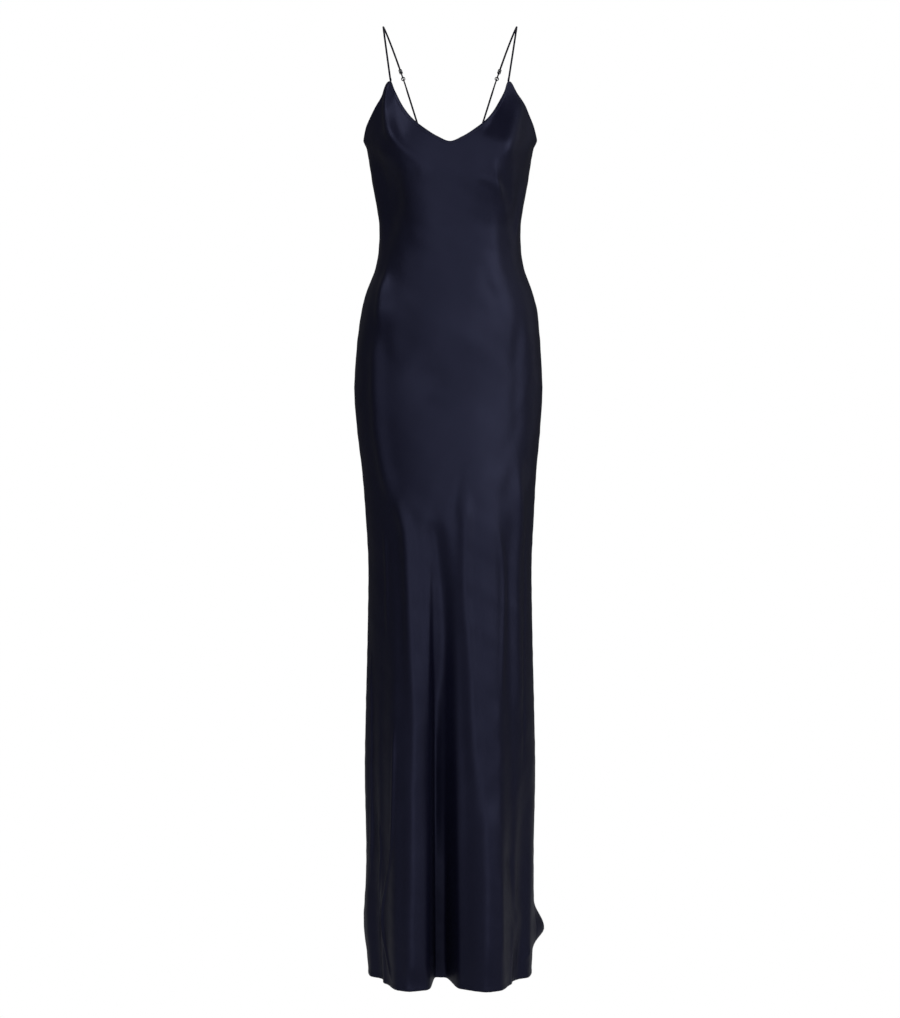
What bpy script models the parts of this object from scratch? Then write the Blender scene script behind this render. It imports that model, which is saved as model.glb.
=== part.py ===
"""Full-length slip dress in navy satin, hollow, in the shape it has when worn, with nobody in it.

Frame: metres, +Z up. The front faces -Y and +X is the wearer's left. The origin lies midway
between the two shoulder straps, at the height where they rest on the shoulders.

The cloth is one continuous form, cut into a front and a back at the side seams. A place on it has
an angle and a height: 0 degrees is the wearer's left seam, 90 the front centre, 180 the right seam
and 270 the back centre. Tables are in millimetres and degrees.
"""
from collections import namedtuple
from math import atan2, cos, exp, pi, radians, sin

import bmesh
import bpy
from mathutils import Matrix, Vector

MM = 0.001
UP = Vector((0.0, 0.0, 1.0))

# ---- driving sizes -----------------------------------------------------------------------------

HEM_HEIGHT = -1543.0          # the hem below the shoulders
WALL = 1.4                    # cloth thickness
SEAM_GAP = 0.45               # between front and back along the side seams, at the outer face
PIECE_GAP = 0.3               # between a piece and what carries it
WELD = 0.01                   # points of a tube's caps closer than this are one

STRAP_POINT_ANGLE = 48.6      # where the front rises to each shoulder strap, from the side seam
STRAP_POINT_HALF = 0.7        # half the width of that point
STRAP_POINT_HEIGHT = -91.0

STRAP_RADIUS = 1.1            # the rouleau
STRAP_PINCHED = 0.9           # the same, pressed inside the metal pieces
STRAP_TOP_X = 106.9           # strap to centre line, on the shoulder
STRAP_STEP = 7.0              # spacing of the points along a strap
STRAP_START = 0.75            # strap end to the panel edge that it is sewn to

SHOULDER_ROUNDING = 1.6       # exponent of the arch that a strap makes over the shoulder
FRONT_ARCH = (92.0, 187.0)    # reach forward and drop of that arch
BACK_ARCH = (90.0, 222.0)     # reach backward and drop
SLIDER_DROP = 66.0            # the slider below the shoulder
SLIDER_X = 80.2
STRAP_EASE = 0.88             # under 1, the back run leaves the shoulder a little faster than it ends
BACK_EDGE_X = 33.0            # back strap to centre line, at the back's top edge

METAL_RADIUS = 0.5            # wire of slider and ring
RING_RADIUS = 2.8             # centre line of the ring's wire
RING_BELOW_SLIDER = 12.0      # centre to centre
SLIDER_HALF_WIDTH = 2.1
SLIDER_HALF_HEIGHT = 3.6
SLIDER_CORNER = 1.0
SLIDER_END_BARS_BACK = 1.8    # how far the end bars are bowed behind the long run of the strap
STRAP_END_ABOVE_BAR = 2.6     # the strap's sewn end above the slider's centre bar
BACK_STRAP_FOLD = 7.0         # the back strap's sewn fold below the ring

Section = namedtuple("Section", "height half_width front back square")
SECTIONS = [
    Section(-80.0, 141.0, 88.0, 84.0, 0.00),
    Section(-130.0, 141.0, 96.0, 88.0, 0.00),
    Section(-180.0, 141.0, 101.0, 90.0, 0.01),
    Section(-186.0, 138.4, 101.5, 90.0, 0.01),
    Section(-193.0, 134.4, 102.0, 90.0, 0.02),
    Section(-205.0, 131.8, 102.0, 90.0, 0.02),
    Section(-226.0, 128.8, 101.0, 88.0, 0.02),
    Section(-258.0, 123.7, 97.0, 81.0, 0.02),
    Section(-290.0, 117.8, 92.0, 74.0, 0.03),
    Section(-322.0, 114.2, 88.0, 70.0, 0.03),
    Section(-354.0, 115.4, 88.0, 72.0, 0.03),
    Section(-387.0, 121.5, 91.0, 80.0, 0.03),
    Section(-419.0, 134.3, 95.0, 92.0, 0.02),
    Section(-451.0, 143.0, 99.0, 102.0, 0.02),
    Section(-516.0, 151.9, 104.0, 114.0, 0.01),
    Section(-581.0, 155.7, 107.0, 119.0, 0.00),
    Section(-646.0, 151.2, 108.0, 117.0, 0.00),
    Section(-711.0, 143.4, 107.0, 112.0, 0.00),
    Section(-776.0, 138.2, 106.0, 109.0, 0.00),
    Section(-874.0, 133.4, 104.0, 106.0, 0.00),
    Section(-973.0, 134.9, 105.0, 106.0, 0.00),
    Section(-1105.0, 138.3, 107.0, 108.0, 0.00),
    Section(-1205.0, 140.2, 109.0, 110.0, 0.00),
    Section(-1338.0, 138.1, 112.0, 113.0, 0.00),
    Section(-1440.0, 138.4, 114.0, 115.0, 0.00),
    Section(-1523.0, 135.7, 115.0, 116.0, 0.00),
    Section(-1560.0, 134.4, 115.0, 116.0, 0.00),
]

# Long folds, which deepen from where they start down to the hem. flat is half the width of the
# fold's floor or crest, before and after are its two flanks in the order of the angles, push is
# the direction that the fold stands out or in, and out is positive.
Fold = namedtuple("Fold", "name start start_angle hem_angle flat before after push out growth")
FOLDS = [
    Fold("front_main_trough", -790.0, 98.0, 97.0, 3.4, 10.0, 3.4, 90.0, -53.0, 1.45),
    Fold("front_trough_lips", -790.0, 98.0, 97.0, 2.0, 22.0, 8.0, 90.0, -27.0, 1.45),
    Fold("front_right_lobe", -700.0, 126.0, 121.0, 3.0, 14.0, 17.0, 115.0, 19.0, 1.0),
    Fold("front_left_lobe", -700.0, 64.0, 62.0, 4.0, 16.0, 14.0, 65.0, 19.0, 1.0),
    Fold("front_right_side_trough", -950.0, 157.0, 154.0, 0.0, 13.0, 14.0, 145.0, -12.0, 1.2),
    Fold("front_left_side_trough", -1100.0, 28.0, 31.0, 0.0, 15.0, 13.0, 35.0, -15.0, 1.3),
    Fold("back_right_trough", -690.0, 232.0, 226.0, 1.0, 17.0, 12.0, 232.0, -34.0, 1.3),
    Fold("back_right_lobe", -700.0, 252.0, 250.0, 2.0, 15.0, 15.0, 250.0, 10.0, 1.0),
    Fold("back_centre_trough", -880.0, 274.0, 277.0, 1.0, 12.0, 15.0, 272.0, -27.0, 1.4),
    Fold("back_left_lobe", -700.0, 296.0, 299.0, 2.0, 14.0, 14.0, 298.0, 12.0, 1.0),
    Fold("back_left_trough", -760.0, 318.0, 323.0, 1.0, 11.0, 16.0, 315.0, -30.0, 1.3),
]

# Rounded swellings that belong to one place. Spreads are the distances over which they fade.
Swell = namedtuple("Swell", "name angle height angle_spread rise fall out")
SWELLS = [
    Swell("left_cup", 58.0, -212.0, 17.0, 46.0, 50.0, 17.0),
    Swell("right_cup", 122.0, -212.0, 17.0, 46.0, 50.0, 17.0),
    Swell("hem_flick", 347.0, -1476.0, 8.0, 23.0, 14.0, 23.0),
    Swell("hem_bow", 184.0, -1465.0, 10.0, 45.0, 30.0, 5.0),
]

# Top edges, by the angle from the nearer side seam.
EdgePoint = namedtuple("EdgePoint", "from_seam height")
FRONT_EDGE = [
    EdgePoint(0.0, -205.0),
    EdgePoint(5.0, -193.0),
    EdgePoint(10.2, -179.5),
    EdgePoint(16.6, -165.2),
    EdgePoint(25.3, -147.2),
    EdgePoint(33.4, -129.2),
    EdgePoint(41.0, -111.0),
    EdgePoint(STRAP_POINT_ANGLE - STRAP_POINT_HALF, STRAP_POINT_HEIGHT),
    EdgePoint(STRAP_POINT_ANGLE + STRAP_POINT_HALF, STRAP_POINT_HEIGHT),
    EdgePoint(52.7, -107.4),
    EdgePoint(59.0, -131.5),
    EdgePoint(65.6, -149.8),
    EdgePoint(73.2, -164.9),
    EdgePoint(82.1, -179.2),
    EdgePoint(90.0, -187.0),
]
BACK_EDGE = [
    EdgePoint(0.0, -205.0),
    EdgePoint(35.0, -209.0),
    EdgePoint(70.0, -211.5),
    EdgePoint(90.0, -215.0),
]

# Mesh lines: each band runs on to its end in a number of equal steps.
Band = namedtuple("Band", "end steps")
YOKE_BOTTOM = -240.0
YOKE_ROWS = 5
ROW_BANDS = [
    Band(-420.0, 4), Band(-620.0, 3), Band(-1400.0, 8), Band(-1476.0, 3), Band(-1500.0, 2),
    Band(HEM_HEIGHT, 2),
]
FRONT_COLUMN_BANDS = [
    Band(2.5, 1), Band(STRAP_POINT_ANGLE - STRAP_POINT_HALF, 6),
    Band(STRAP_POINT_ANGLE + STRAP_POINT_HALF, 1), Band(76.0, 4), Band(100.0, 8), Band(104.0, 4),
    Band(110.0, 2), Band(180.0 - STRAP_POINT_ANGLE - STRAP_POINT_HALF, 3),
    Band(180.0 - STRAP_POINT_ANGLE + STRAP_POINT_HALF, 1), Band(177.5, 6), Band(180.0, 1),
]
BACK_COLUMN_BANDS = [Band(182.5, 1), Band(357.5, 26), Band(360.0, 1)]


# ---- the cloth's form --------------------------------------------------------------------------

def smooth_curve(places, values):
    """A smooth curve through the points of a table that never overshoots them."""
    order = sorted(range(len(places)), key=lambda i: places[i])
    x = [places[i] for i in order]
    y = [values[i] for i in order]
    rise = [(y[i + 1] - y[i]) / (x[i + 1] - x[i]) for i in range(len(x) - 1)]
    slope = [0.0] * len(x)
    for i in range(1, len(x) - 1):
        if rise[i - 1] * rise[i] > 0.0:
            slope[i] = 2.0 * rise[i - 1] * rise[i] / (rise[i - 1] + rise[i])

    def curve(at):
        if at <= x[0]:
            return y[0]
        if at >= x[-1]:
            return y[-1]
        i = next(k for k in range(len(x) - 1) if at <= x[k + 1])
        span = x[i + 1] - x[i]
        t = (at - x[i]) / span
        ease = t * t * (3.0 - 2.0 * t)
        bend_in = t * (1.0 - t) ** 2 * slope[i] * span
        bend_out = t * t * (1.0 - t) * slope[i + 1] * span
        return y[i] + ease * (y[i + 1] - y[i]) + bend_in - bend_out

    return curve


def section_curve(column):
    return smooth_curve([row.height for row in SECTIONS], [getattr(row, column) for row in SECTIONS])


HALF_WIDTH = section_curve("half_width")
FRONT_DEPTH = section_curve("front")
BACK_DEPTH = section_curve("back")
SQUARENESS = section_curve("square")
FRONT_TOP = smooth_curve([row.from_seam for row in FRONT_EDGE], [row.height for row in FRONT_EDGE])
BACK_TOP = smooth_curve([row.from_seam for row in BACK_EDGE], [row.height for row in BACK_EDGE])


def form_point(angle, height):
    """The plain body-round form, before cups and folds."""
    turn = radians(angle)
    depth = FRONT_DEPTH(height) if sin(turn) > 0.0 else BACK_DEPTH(height)
    fullness = 1.0 + SQUARENESS(height) * sin(2.0 * turn) ** 2
    return Vector((HALF_WIDTH(height) * cos(turn), -depth * sin(turn), 0.0)) * fullness + UP * height


def form_outward(angle, height):
    step = 0.5
    along = form_point(angle + step, height) - form_point(angle - step, height)
    return UP.cross(along).normalized()


def angle_between(angle, centre):
    return (angle - centre + 180.0) % 360.0 - 180.0


def fold_depth(fold, angle, height):
    """How far one long fold moves the cloth out here."""
    if height >= fold.start:
        return 0.0
    down = (fold.start - height) / (fold.start - HEM_HEIGHT)
    off = angle_between(angle, fold.start_angle + (fold.hem_angle - fold.start_angle) * down)
    flank = fold.before if off < 0.0 else fold.after
    across = max(0.0, abs(off) - fold.flat) / flank
    if across >= 1.0:
        return 0.0
    return fold.out * down ** fold.growth * 0.5 * (1.0 + cos(pi * across))


def swell_depth(swell, angle, height):
    """How far one swelling moves the cloth outward here."""
    spread = swell.rise if height > swell.height else swell.fall
    across = angle_between(angle, swell.angle) / swell.angle_spread
    along = (height - swell.height) / spread
    return swell.out * exp(-0.5 * (across * across + along * along))


def cloth_point(angle, height):
    """The outer face of the cloth."""
    swelling = sum(swell_depth(swell, angle, height) for swell in SWELLS)
    point = form_point(angle, height) + form_outward(angle, height) * swelling
    for fold in FOLDS:
        push = radians(fold.push)
        point += Vector((cos(push), -sin(push), 0.0)) * fold_depth(fold, angle, height)
    return point


def from_seam(angle):
    """Degrees from the nearer side seam."""
    return min(angle % 180.0, 180.0 - angle % 180.0)


# ---- meshes and curves -------------------------------------------------------------------------

def material(name, colour, roughness, metallic):
    made = bpy.data.materials.new(name)
    made.use_nodes = True
    shader = made.node_tree.nodes["Principled BSDF"]
    shader.inputs["Base Color"].default_value = (*colour, 1.0)
    shader.inputs["Roughness"].default_value = roughness
    shader.inputs["Metallic"].default_value = metallic
    return made


def place(name, data, collection, finish):
    data.materials.append(finish)
    thing = bpy.data.objects.new(name, data)
    collection.objects.link(thing)
    return thing


def band_lines(start, bands):
    """Start and every line after it, through all the bands."""
    lines = [start]
    for band in bands:
        first = lines[-1]
        lines += [first + (band.end - first) * (i + 1) / band.steps for i in range(band.steps)]
    return lines


def panel(name, first_angle, column_bands, top_edge, seam_shift, collection, finish):
    """A wall of cloth from its top edge to the hem, between the two side seams."""
    angles = band_lines(first_angle, column_bands)
    levels = band_lines(YOKE_BOTTOM, ROW_BANDS)
    shape = bmesh.new()
    columns = []
    for angle in angles:
        top = top_edge(from_seam(angle))
        heights = [top + (YOKE_BOTTOM - top) * i / YOKE_ROWS for i in range(YOKE_ROWS)] + levels
        at_seam = angle in (angles[0], angles[-1])
        shift = Vector((0.0, seam_shift if at_seam else 0.0, 0.0))
        points = [cloth_point(angle, height) + shift for height in heights]
        columns.append([shape.verts.new(point * MM) for point in points])
    for one, other in zip(columns, columns[1:]):
        for row in range(len(one) - 1):
            shape.faces.new((one[row], other[row], other[row + 1], one[row + 1]))
    data = bpy.data.meshes.new(name)
    shape.to_mesh(data)
    shape.free()
    data.shade_smooth()
    thing = place(name, data, collection, finish)
    wall = thing.modifiers.new("wall", "SOLIDIFY")
    wall.thickness = WALL * MM
    wall.offset = -1.0
    wall.use_even_offset = True
    return thing


def tube(name, route, collection, finish, closed=False):
    """A round tube through (point, radius) pairs, its ends closed."""
    data = bpy.data.curves.new(name, "CURVE")
    data.dimensions = "3D"
    data.bevel_depth = MM
    data.bevel_resolution = 2
    data.use_fill_caps = True
    line = data.splines.new("POLY")
    line.points.add(len(route) - 1)
    for knot, (point, radius) in zip(line.points, route):
        knot.co = (*(point * MM), 1.0)
        knot.radius = radius
    line.use_cyclic_u = closed
    line.use_smooth = True
    return place(name, data, collection, finish)


def as_welded_mesh(thing):
    """Turn a curve object into a mesh object with the same name and material."""
    name = thing.name
    collection = thing.users_collection[0]
    evaluated = thing.evaluated_get(bpy.context.evaluated_depsgraph_get())
    data = bpy.data.meshes.new_from_object(evaluated)
    bpy.data.objects.remove(thing)
    shape = bmesh.new()
    shape.from_mesh(data)
    bmesh.ops.remove_doubles(shape, verts=shape.verts, dist=WELD * MM)
    shape.to_mesh(data)
    shape.free()
    made = bpy.data.objects.new(name, data)
    collection.objects.link(made)
    return made


# ---- straps and their metal pieces -------------------------------------------------------------

def arch_reach(drop, arch):
    """How far out from the shoulder's top a strap lies once it has dropped this far."""
    reach, depth = arch
    left = max(0.0, 1.0 - max(0.0, drop) / depth)
    return reach * (1.0 - left ** SHOULDER_ROUNDING) ** (1.0 / SHOULDER_ROUNDING)


def drops_evenly(arch, last_drop):
    """Drops from the top of the arch to the last one, with points a strap step apart."""
    drops = [0.0]
    drop = 0.0
    fine = 0.05
    travelled = 0.0
    while drop < last_drop:
        out = arch_reach(drop + fine, arch) - arch_reach(drop, arch)
        travelled += (out * out + fine * fine) ** 0.5
        drop += fine
        if travelled >= STRAP_STEP and last_drop - drop > 0.5 * STRAP_STEP:
            drops.append(drop)
            travelled = 0.0
    return drops + [last_drop]


def front_strap_point(drop):
    tip = cloth_point(STRAP_POINT_ANGLE, STRAP_POINT_HEIGHT)
    share = drop / (STRAP_RADIUS - STRAP_POINT_HEIGHT)
    reach = (-tip.y + 0.5 * WALL) / arch_reach(STRAP_RADIUS - STRAP_POINT_HEIGHT, FRONT_ARCH)
    return Vector((STRAP_TOP_X + (tip.x - STRAP_TOP_X) * share,
                   -arch_reach(drop, FRONT_ARCH) * reach, STRAP_RADIUS - drop))


def back_strap_point(drop):
    share = (drop / SLIDER_DROP) ** STRAP_EASE
    return Vector((STRAP_TOP_X + (SLIDER_X - STRAP_TOP_X) * share,
                   arch_reach(drop, BACK_ARCH), STRAP_RADIUS - drop))


class Hardware:
    """Where the slider and the ring sit: a straight stretch of strap behind the shoulder."""

    def __init__(self):
        self.start = back_strap_point(SLIDER_DROP)
        self.down = (back_strap_point(SLIDER_DROP + 1.0) - self.start).normalized()
        back = Vector((0.0, 1.0, 0.0))
        self.out = (back - self.down * back.dot(self.down)).normalized()
        self.side = self.down.cross(self.out)
        self.to_metal = METAL_RADIUS + PIECE_GAP + STRAP_PINCHED

    def at(self, along, outward, sideways=0.0):
        """A point by its distance down the strap, out from the long run, and sideways."""
        return self.start + self.down * along + self.out * outward + self.side * sideways


def u_turn(metal, wire_along, turn_way):
    """Half a turn of strap round a wire, from its outer side to its inner side."""
    points = []
    steps = 6
    for i in range(steps + 1):
        turn = pi * i / steps
        points.append(metal.at(wire_along + turn_way * metal.to_metal * sin(turn),
                               -metal.to_metal + metal.to_metal * cos(turn)))
    return [(point, STRAP_PINCHED) for point in points]


def strap_route(metal):
    """Strap point, shoulder, slider, round the ring, and back up to the slider's centre bar."""
    front_drops = drops_evenly(FRONT_ARCH, STRAP_RADIUS - STRAP_POINT_HEIGHT - STRAP_START)
    back_drops = drops_evenly(BACK_ARCH, SLIDER_DROP - 2.0 * SLIDER_HALF_HEIGHT)
    route = [(front_strap_point(drop), STRAP_RADIUS) for drop in reversed(front_drops)]
    route += [(back_strap_point(drop), STRAP_RADIUS) for drop in back_drops[1:]]
    ring_top = RING_BELOW_SLIDER - RING_RADIUS
    route += [(metal.at(along, 0.0), STRAP_PINCHED) for along in (-SLIDER_HALF_HEIGHT, 2.0, 6.0)]
    route += u_turn(metal, ring_top, 1.0)
    inner = -2.0 * metal.to_metal
    route += [(metal.at(along, inner), STRAP_PINCHED) for along in (6.0, 2.0, -STRAP_END_ABOVE_BAR)]
    return route


def back_strap_route(metal):
    """From the sewn fold, round the ring's lower wire, and down to the back's top edge."""
    ring_bottom = RING_BELOW_SLIDER + RING_RADIUS
    turn = u_turn(metal, ring_bottom, -1.0)
    inner = -2.0 * metal.to_metal
    route = [(metal.at(ring_bottom + BACK_STRAP_FOLD, inner), STRAP_PINCHED)]
    route += list(reversed(turn))
    leave = metal.at(ring_bottom + BACK_STRAP_FOLD, 0.0)
    seat = back_edge_seat()
    middle = (leave + seat) * 0.5 + Vector((0.0, 5.0, 0.0))
    count = round((seat - leave).length / (2.0 * STRAP_STEP))
    for i in range(count + 1):
        t = i / count
        point = leave * (1.0 - t) ** 2 + middle * (2.0 * t * (1.0 - t)) + seat * t * t
        route.append((point, STRAP_RADIUS))
    return route


def back_edge_seat():
    """Just above the middle of the back's top edge, where a back strap is sewn on."""
    angle = 360.0 - 90.0
    while cloth_point(angle, BACK_TOP(from_seam(angle))).x < BACK_EDGE_X:
        angle += 0.1
    edge = cloth_point(angle, BACK_TOP(from_seam(angle)))
    inward = -form_outward(angle, edge.z)
    return edge + inward * (0.5 * WALL) + UP * STRAP_START


def slider(name, metal, collection, finish):
    """A slide of two bowed end bars and a centre bar, which the strap weaves through."""
    corner = SLIDER_CORNER
    outline = []
    quarter_steps = 3
    for across, up in ((1, 1), (-1, 1), (-1, -1), (1, -1)):
        begin = atan2(up, across) - pi / 4.0
        for i in range(quarter_steps + 1):
            turn = begin + 0.5 * pi * i / quarter_steps
            sideways = across * (SLIDER_HALF_WIDTH - corner) + corner * cos(turn)
            along = up * (SLIDER_HALF_HEIGHT - corner) + corner * sin(turn)
            bowed = (abs(along) - SLIDER_HALF_HEIGHT + corner) / corner
            outward = SLIDER_END_BARS_BACK * max(0.0, bowed)
            outline.append((metal.at(along, outward, sideways), METAL_RADIUS))
    frame = as_welded_mesh(tube(name, outline, collection, finish, closed=True))
    inner = -metal.to_metal
    bar_route = [(metal.at(0.0, 0.0, -SLIDER_HALF_WIDTH), METAL_RADIUS),
                 (metal.at(0.0, inner, -SLIDER_HALF_WIDTH + 0.7), METAL_RADIUS),
                 (metal.at(0.0, inner, SLIDER_HALF_WIDTH - 0.7), METAL_RADIUS),
                 (metal.at(0.0, 0.0, SLIDER_HALF_WIDTH), METAL_RADIUS)]
    bar = as_welded_mesh(tube(name + "_bar", bar_route, bpy.context.scene.collection, finish))
    union = frame.modifiers.new("bar", "BOOLEAN")
    union.operation = "UNION"
    union.object = bar
    evaluated = frame.evaluated_get(bpy.context.evaluated_depsgraph_get())
    frame.data = bpy.data.meshes.new_from_object(evaluated)
    frame.modifiers.clear()
    bpy.data.objects.remove(bar)
    return frame


def ring(name, metal, collection, finish):
    """A plain wire ring lying in the plane of the strap."""
    bpy.ops.mesh.primitive_torus_add(major_segments=20, minor_segments=8,
                                     major_radius=RING_RADIUS * MM, minor_radius=METAL_RADIUS * MM)
    thing = bpy.context.object
    thing.name = name
    axes = Matrix((metal.side, metal.down, metal.out)).transposed()
    centre = metal.at(RING_BELOW_SLIDER, -metal.to_metal) * MM
    thing.matrix_world = Matrix.Translation(centre) @ axes.to_4x4()
    thing.data.shade_smooth()
    thing.data.materials.append(finish)
    for holder in list(thing.users_collection):
        holder.objects.unlink(thing)
    collection.objects.link(thing)
    return thing


def mirrored(thing, name):
    """The wearer's right piece, from the left one."""
    evaluated = thing.evaluated_get(bpy.context.evaluated_depsgraph_get())
    data = bpy.data.meshes.new_from_object(evaluated)
    shape = bmesh.new()
    shape.from_mesh(data)
    if thing.type == "CURVE":
        bmesh.ops.remove_doubles(shape, verts=shape.verts, dist=WELD * MM)
    flip = Matrix.Diagonal((-1.0, 1.0, 1.0, 1.0)) @ thing.matrix_world
    bmesh.ops.transform(shape, matrix=flip, verts=shape.verts)
    bmesh.ops.reverse_faces(shape, faces=shape.faces)
    shape.to_mesh(data)
    shape.free()
    data.name = name
    copy = bpy.data.objects.new(name, data)
    thing.users_collection[0].objects.link(copy)
    return copy


# ---- the dress ---------------------------------------------------------------------------------

def build():
    for thing in list(bpy.data.objects):
        bpy.data.objects.remove(thing)
    dress = bpy.data.collections.new("slip_dress")
    bpy.context.scene.collection.children.link(dress)

    satin = material("navy_satin", (0.012, 0.014, 0.032), 0.34, 0.0)
    rouleau = material("navy_rouleau", (0.011, 0.012, 0.026), 0.42, 0.0)
    metal_finish = material("dark_coated_metal", (0.02, 0.02, 0.03), 0.3, 0.8)

    panel("front_panel", 0.0, FRONT_COLUMN_BANDS, FRONT_TOP, -0.5 * SEAM_GAP, dress, satin)
    panel("back_panel", 180.0, BACK_COLUMN_BANDS, BACK_TOP, 0.5 * SEAM_GAP, dress, satin)

    metal = Hardware()
    left_pieces = {
        "strap": tube("strap_left", strap_route(metal), dress, rouleau),
        "back_strap": tube("back_strap_left", back_strap_route(metal), dress, rouleau),
        "slider": slider("slider_left", metal, dress, metal_finish),
        "ring": ring("ring_left", metal, dress, metal_finish),
    }
    bpy.context.view_layer.update()
    for piece, thing in left_pieces.items():
        mirrored(thing, piece + "_right")


build()
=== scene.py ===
"""Full-length slip dress in navy satin, filled out as if worn, with nobody in it.

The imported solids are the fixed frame. Every piece of cloth, strap and metal is made again here in
its finished form, in the same place: metres, +Z up, the front faces -Y, +X is the wearer's left.
Tables are in millimetres and degrees. A place on the cloth has an angle and a height: 0 degrees is
the wearer's left side seam, 90 the front centre, 180 the right seam and 270 the back centre.
"""

from collections import namedtuple
from functools import partial
from math import atan2, cos, pi, radians, sin

import bmesh
import bpy
import numpy as np
from mathutils import Matrix, Vector


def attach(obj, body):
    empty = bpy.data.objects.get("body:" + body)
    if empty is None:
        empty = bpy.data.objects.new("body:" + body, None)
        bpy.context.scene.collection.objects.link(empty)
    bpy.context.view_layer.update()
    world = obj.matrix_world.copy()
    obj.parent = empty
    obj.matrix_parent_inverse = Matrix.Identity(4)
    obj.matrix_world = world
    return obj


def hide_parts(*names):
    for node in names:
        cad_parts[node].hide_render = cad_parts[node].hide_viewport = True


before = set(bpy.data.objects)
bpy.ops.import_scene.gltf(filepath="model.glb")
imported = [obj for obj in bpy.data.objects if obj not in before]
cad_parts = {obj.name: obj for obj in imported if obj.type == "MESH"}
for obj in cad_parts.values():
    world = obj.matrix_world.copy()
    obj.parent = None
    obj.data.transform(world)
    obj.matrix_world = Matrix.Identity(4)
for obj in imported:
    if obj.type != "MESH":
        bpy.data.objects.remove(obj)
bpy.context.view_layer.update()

bl_info = {
    "name": "Satin slip dress",
    "version": (1, 0, 0),
    "blender": (4, 5, 0),
    "location": "3D View > Sidebar > Dress",
    "description": "Makes a bias-cut satin slip dress with rouleau straps, and a plain stage",
    "category": "Object",
}

MM = 0.001
UP = np.array((0.0, 0.0, 1.0))

# ---- the body-round form: the same sizes as the solids -------------------------------------------

HEM_HEIGHT = -1543.0
STRAP_POINT_ANGLE = 48.6      # where the front rises to each strap, from the side seam
STRAP_POINT_HALF = 0.7
STRAP_POINT_HEIGHT = -91.0

STRAP_RADIUS = 1.1            # the rouleau
STRAP_PINCHED = 0.9           # the same, pressed inside the metal pieces
STRAP_TOP_X = 106.9           # strap to centre line, on the shoulder
STRAP_STEP = 7.0              # spacing of the knots along a strap
STRAP_SEWN = 7.5              # how far a strap runs on behind the edge that it is sewn to
STRAP_BEHIND = 2.3            # how deep it lies there
SHOULDER_ROUNDING = 1.6       # exponent of the arch that a strap makes over the shoulder
FRONT_ARCH = (92.0, 187.0)    # reach forward and drop of that arch
BACK_ARCH = (90.0, 222.0)     # reach backward and drop
SLIDER_DROP = 66.0            # the slider below the shoulder
SLIDER_X = 80.2
STRAP_EASE = 0.88             # under 1, the back run leaves the shoulder faster than it ends
BACK_EDGE_X = 33.0            # back strap to centre line, at the back's top edge

METAL_RADIUS = 0.5            # wire of slider and ring
PIECE_GAP = 0.3               # between the wire and the strap round it
RING_RADIUS = 2.8             # centre line of the ring's wire
RING_BELOW_SLIDER = 12.0      # centre to centre
SLIDER_HALF_WIDTH = 2.1
SLIDER_HALF_HEIGHT = 3.6
SLIDER_CORNER = 1.0
SLIDER_END_BARS_BACK = 1.8    # how far the end bars are bowed behind the long run of the strap
STRAP_END_ABOVE_BAR = 2.6     # the strap's sewn end above the slider's centre bar
BACK_STRAP_FOLD = 7.0         # the back strap's sewn fold below the ring

# Cross-sections: front and back are depths from the middle, and square is how far the section
# fills out between its front or back and its sides.
Section = namedtuple("Section", "height half_width front back square")
SECTIONS = [
    Section(-80.0, 141.0, 88.0, 84.0, 0.00),
    Section(-130.0, 141.0, 96.0, 88.0, 0.00),
    Section(-180.0, 141.0, 101.0, 90.0, 0.01),
    Section(-186.0, 138.4, 101.5, 90.0, 0.01),
    Section(-193.0, 134.4, 102.0, 90.0, 0.02),
    Section(-205.0, 131.8, 102.0, 90.0, 0.02),
    Section(-226.0, 128.8, 101.0, 88.0, 0.02),
    Section(-258.0, 123.7, 97.0, 81.0, 0.02),
    Section(-290.0, 117.8, 92.0, 74.0, 0.03),
    Section(-322.0, 114.2, 88.0, 70.0, 0.03),
    Section(-354.0, 115.4, 88.0, 72.0, 0.03),
    Section(-387.0, 121.5, 91.0, 80.0, 0.03),
    Section(-419.0, 134.3, 95.0, 92.0, 0.02),
    Section(-451.0, 143.0, 99.0, 102.0, 0.02),
    Section(-516.0, 151.9, 104.0, 114.0, 0.01),
    Section(-581.0, 155.7, 107.0, 119.0, 0.00),
    Section(-646.0, 151.2, 108.0, 117.0, 0.00),
    Section(-711.0, 143.4, 107.0, 112.0, 0.00),
    Section(-776.0, 138.2, 106.0, 109.0, 0.00),
    Section(-874.0, 133.4, 104.0, 106.0, 0.00),
    Section(-973.0, 134.9, 105.0, 106.0, 0.00),
    Section(-1105.0, 138.3, 107.0, 108.0, 0.00),
    Section(-1205.0, 140.2, 109.0, 110.0, 0.00),
    Section(-1338.0, 138.1, 112.0, 113.0, 0.00),
    Section(-1440.0, 138.4, 114.0, 115.0, 0.00),
    Section(-1523.0, 135.7, 115.0, 116.0, 0.00),
    Section(-1560.0, 134.4, 115.0, 116.0, 0.00),
]

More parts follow.
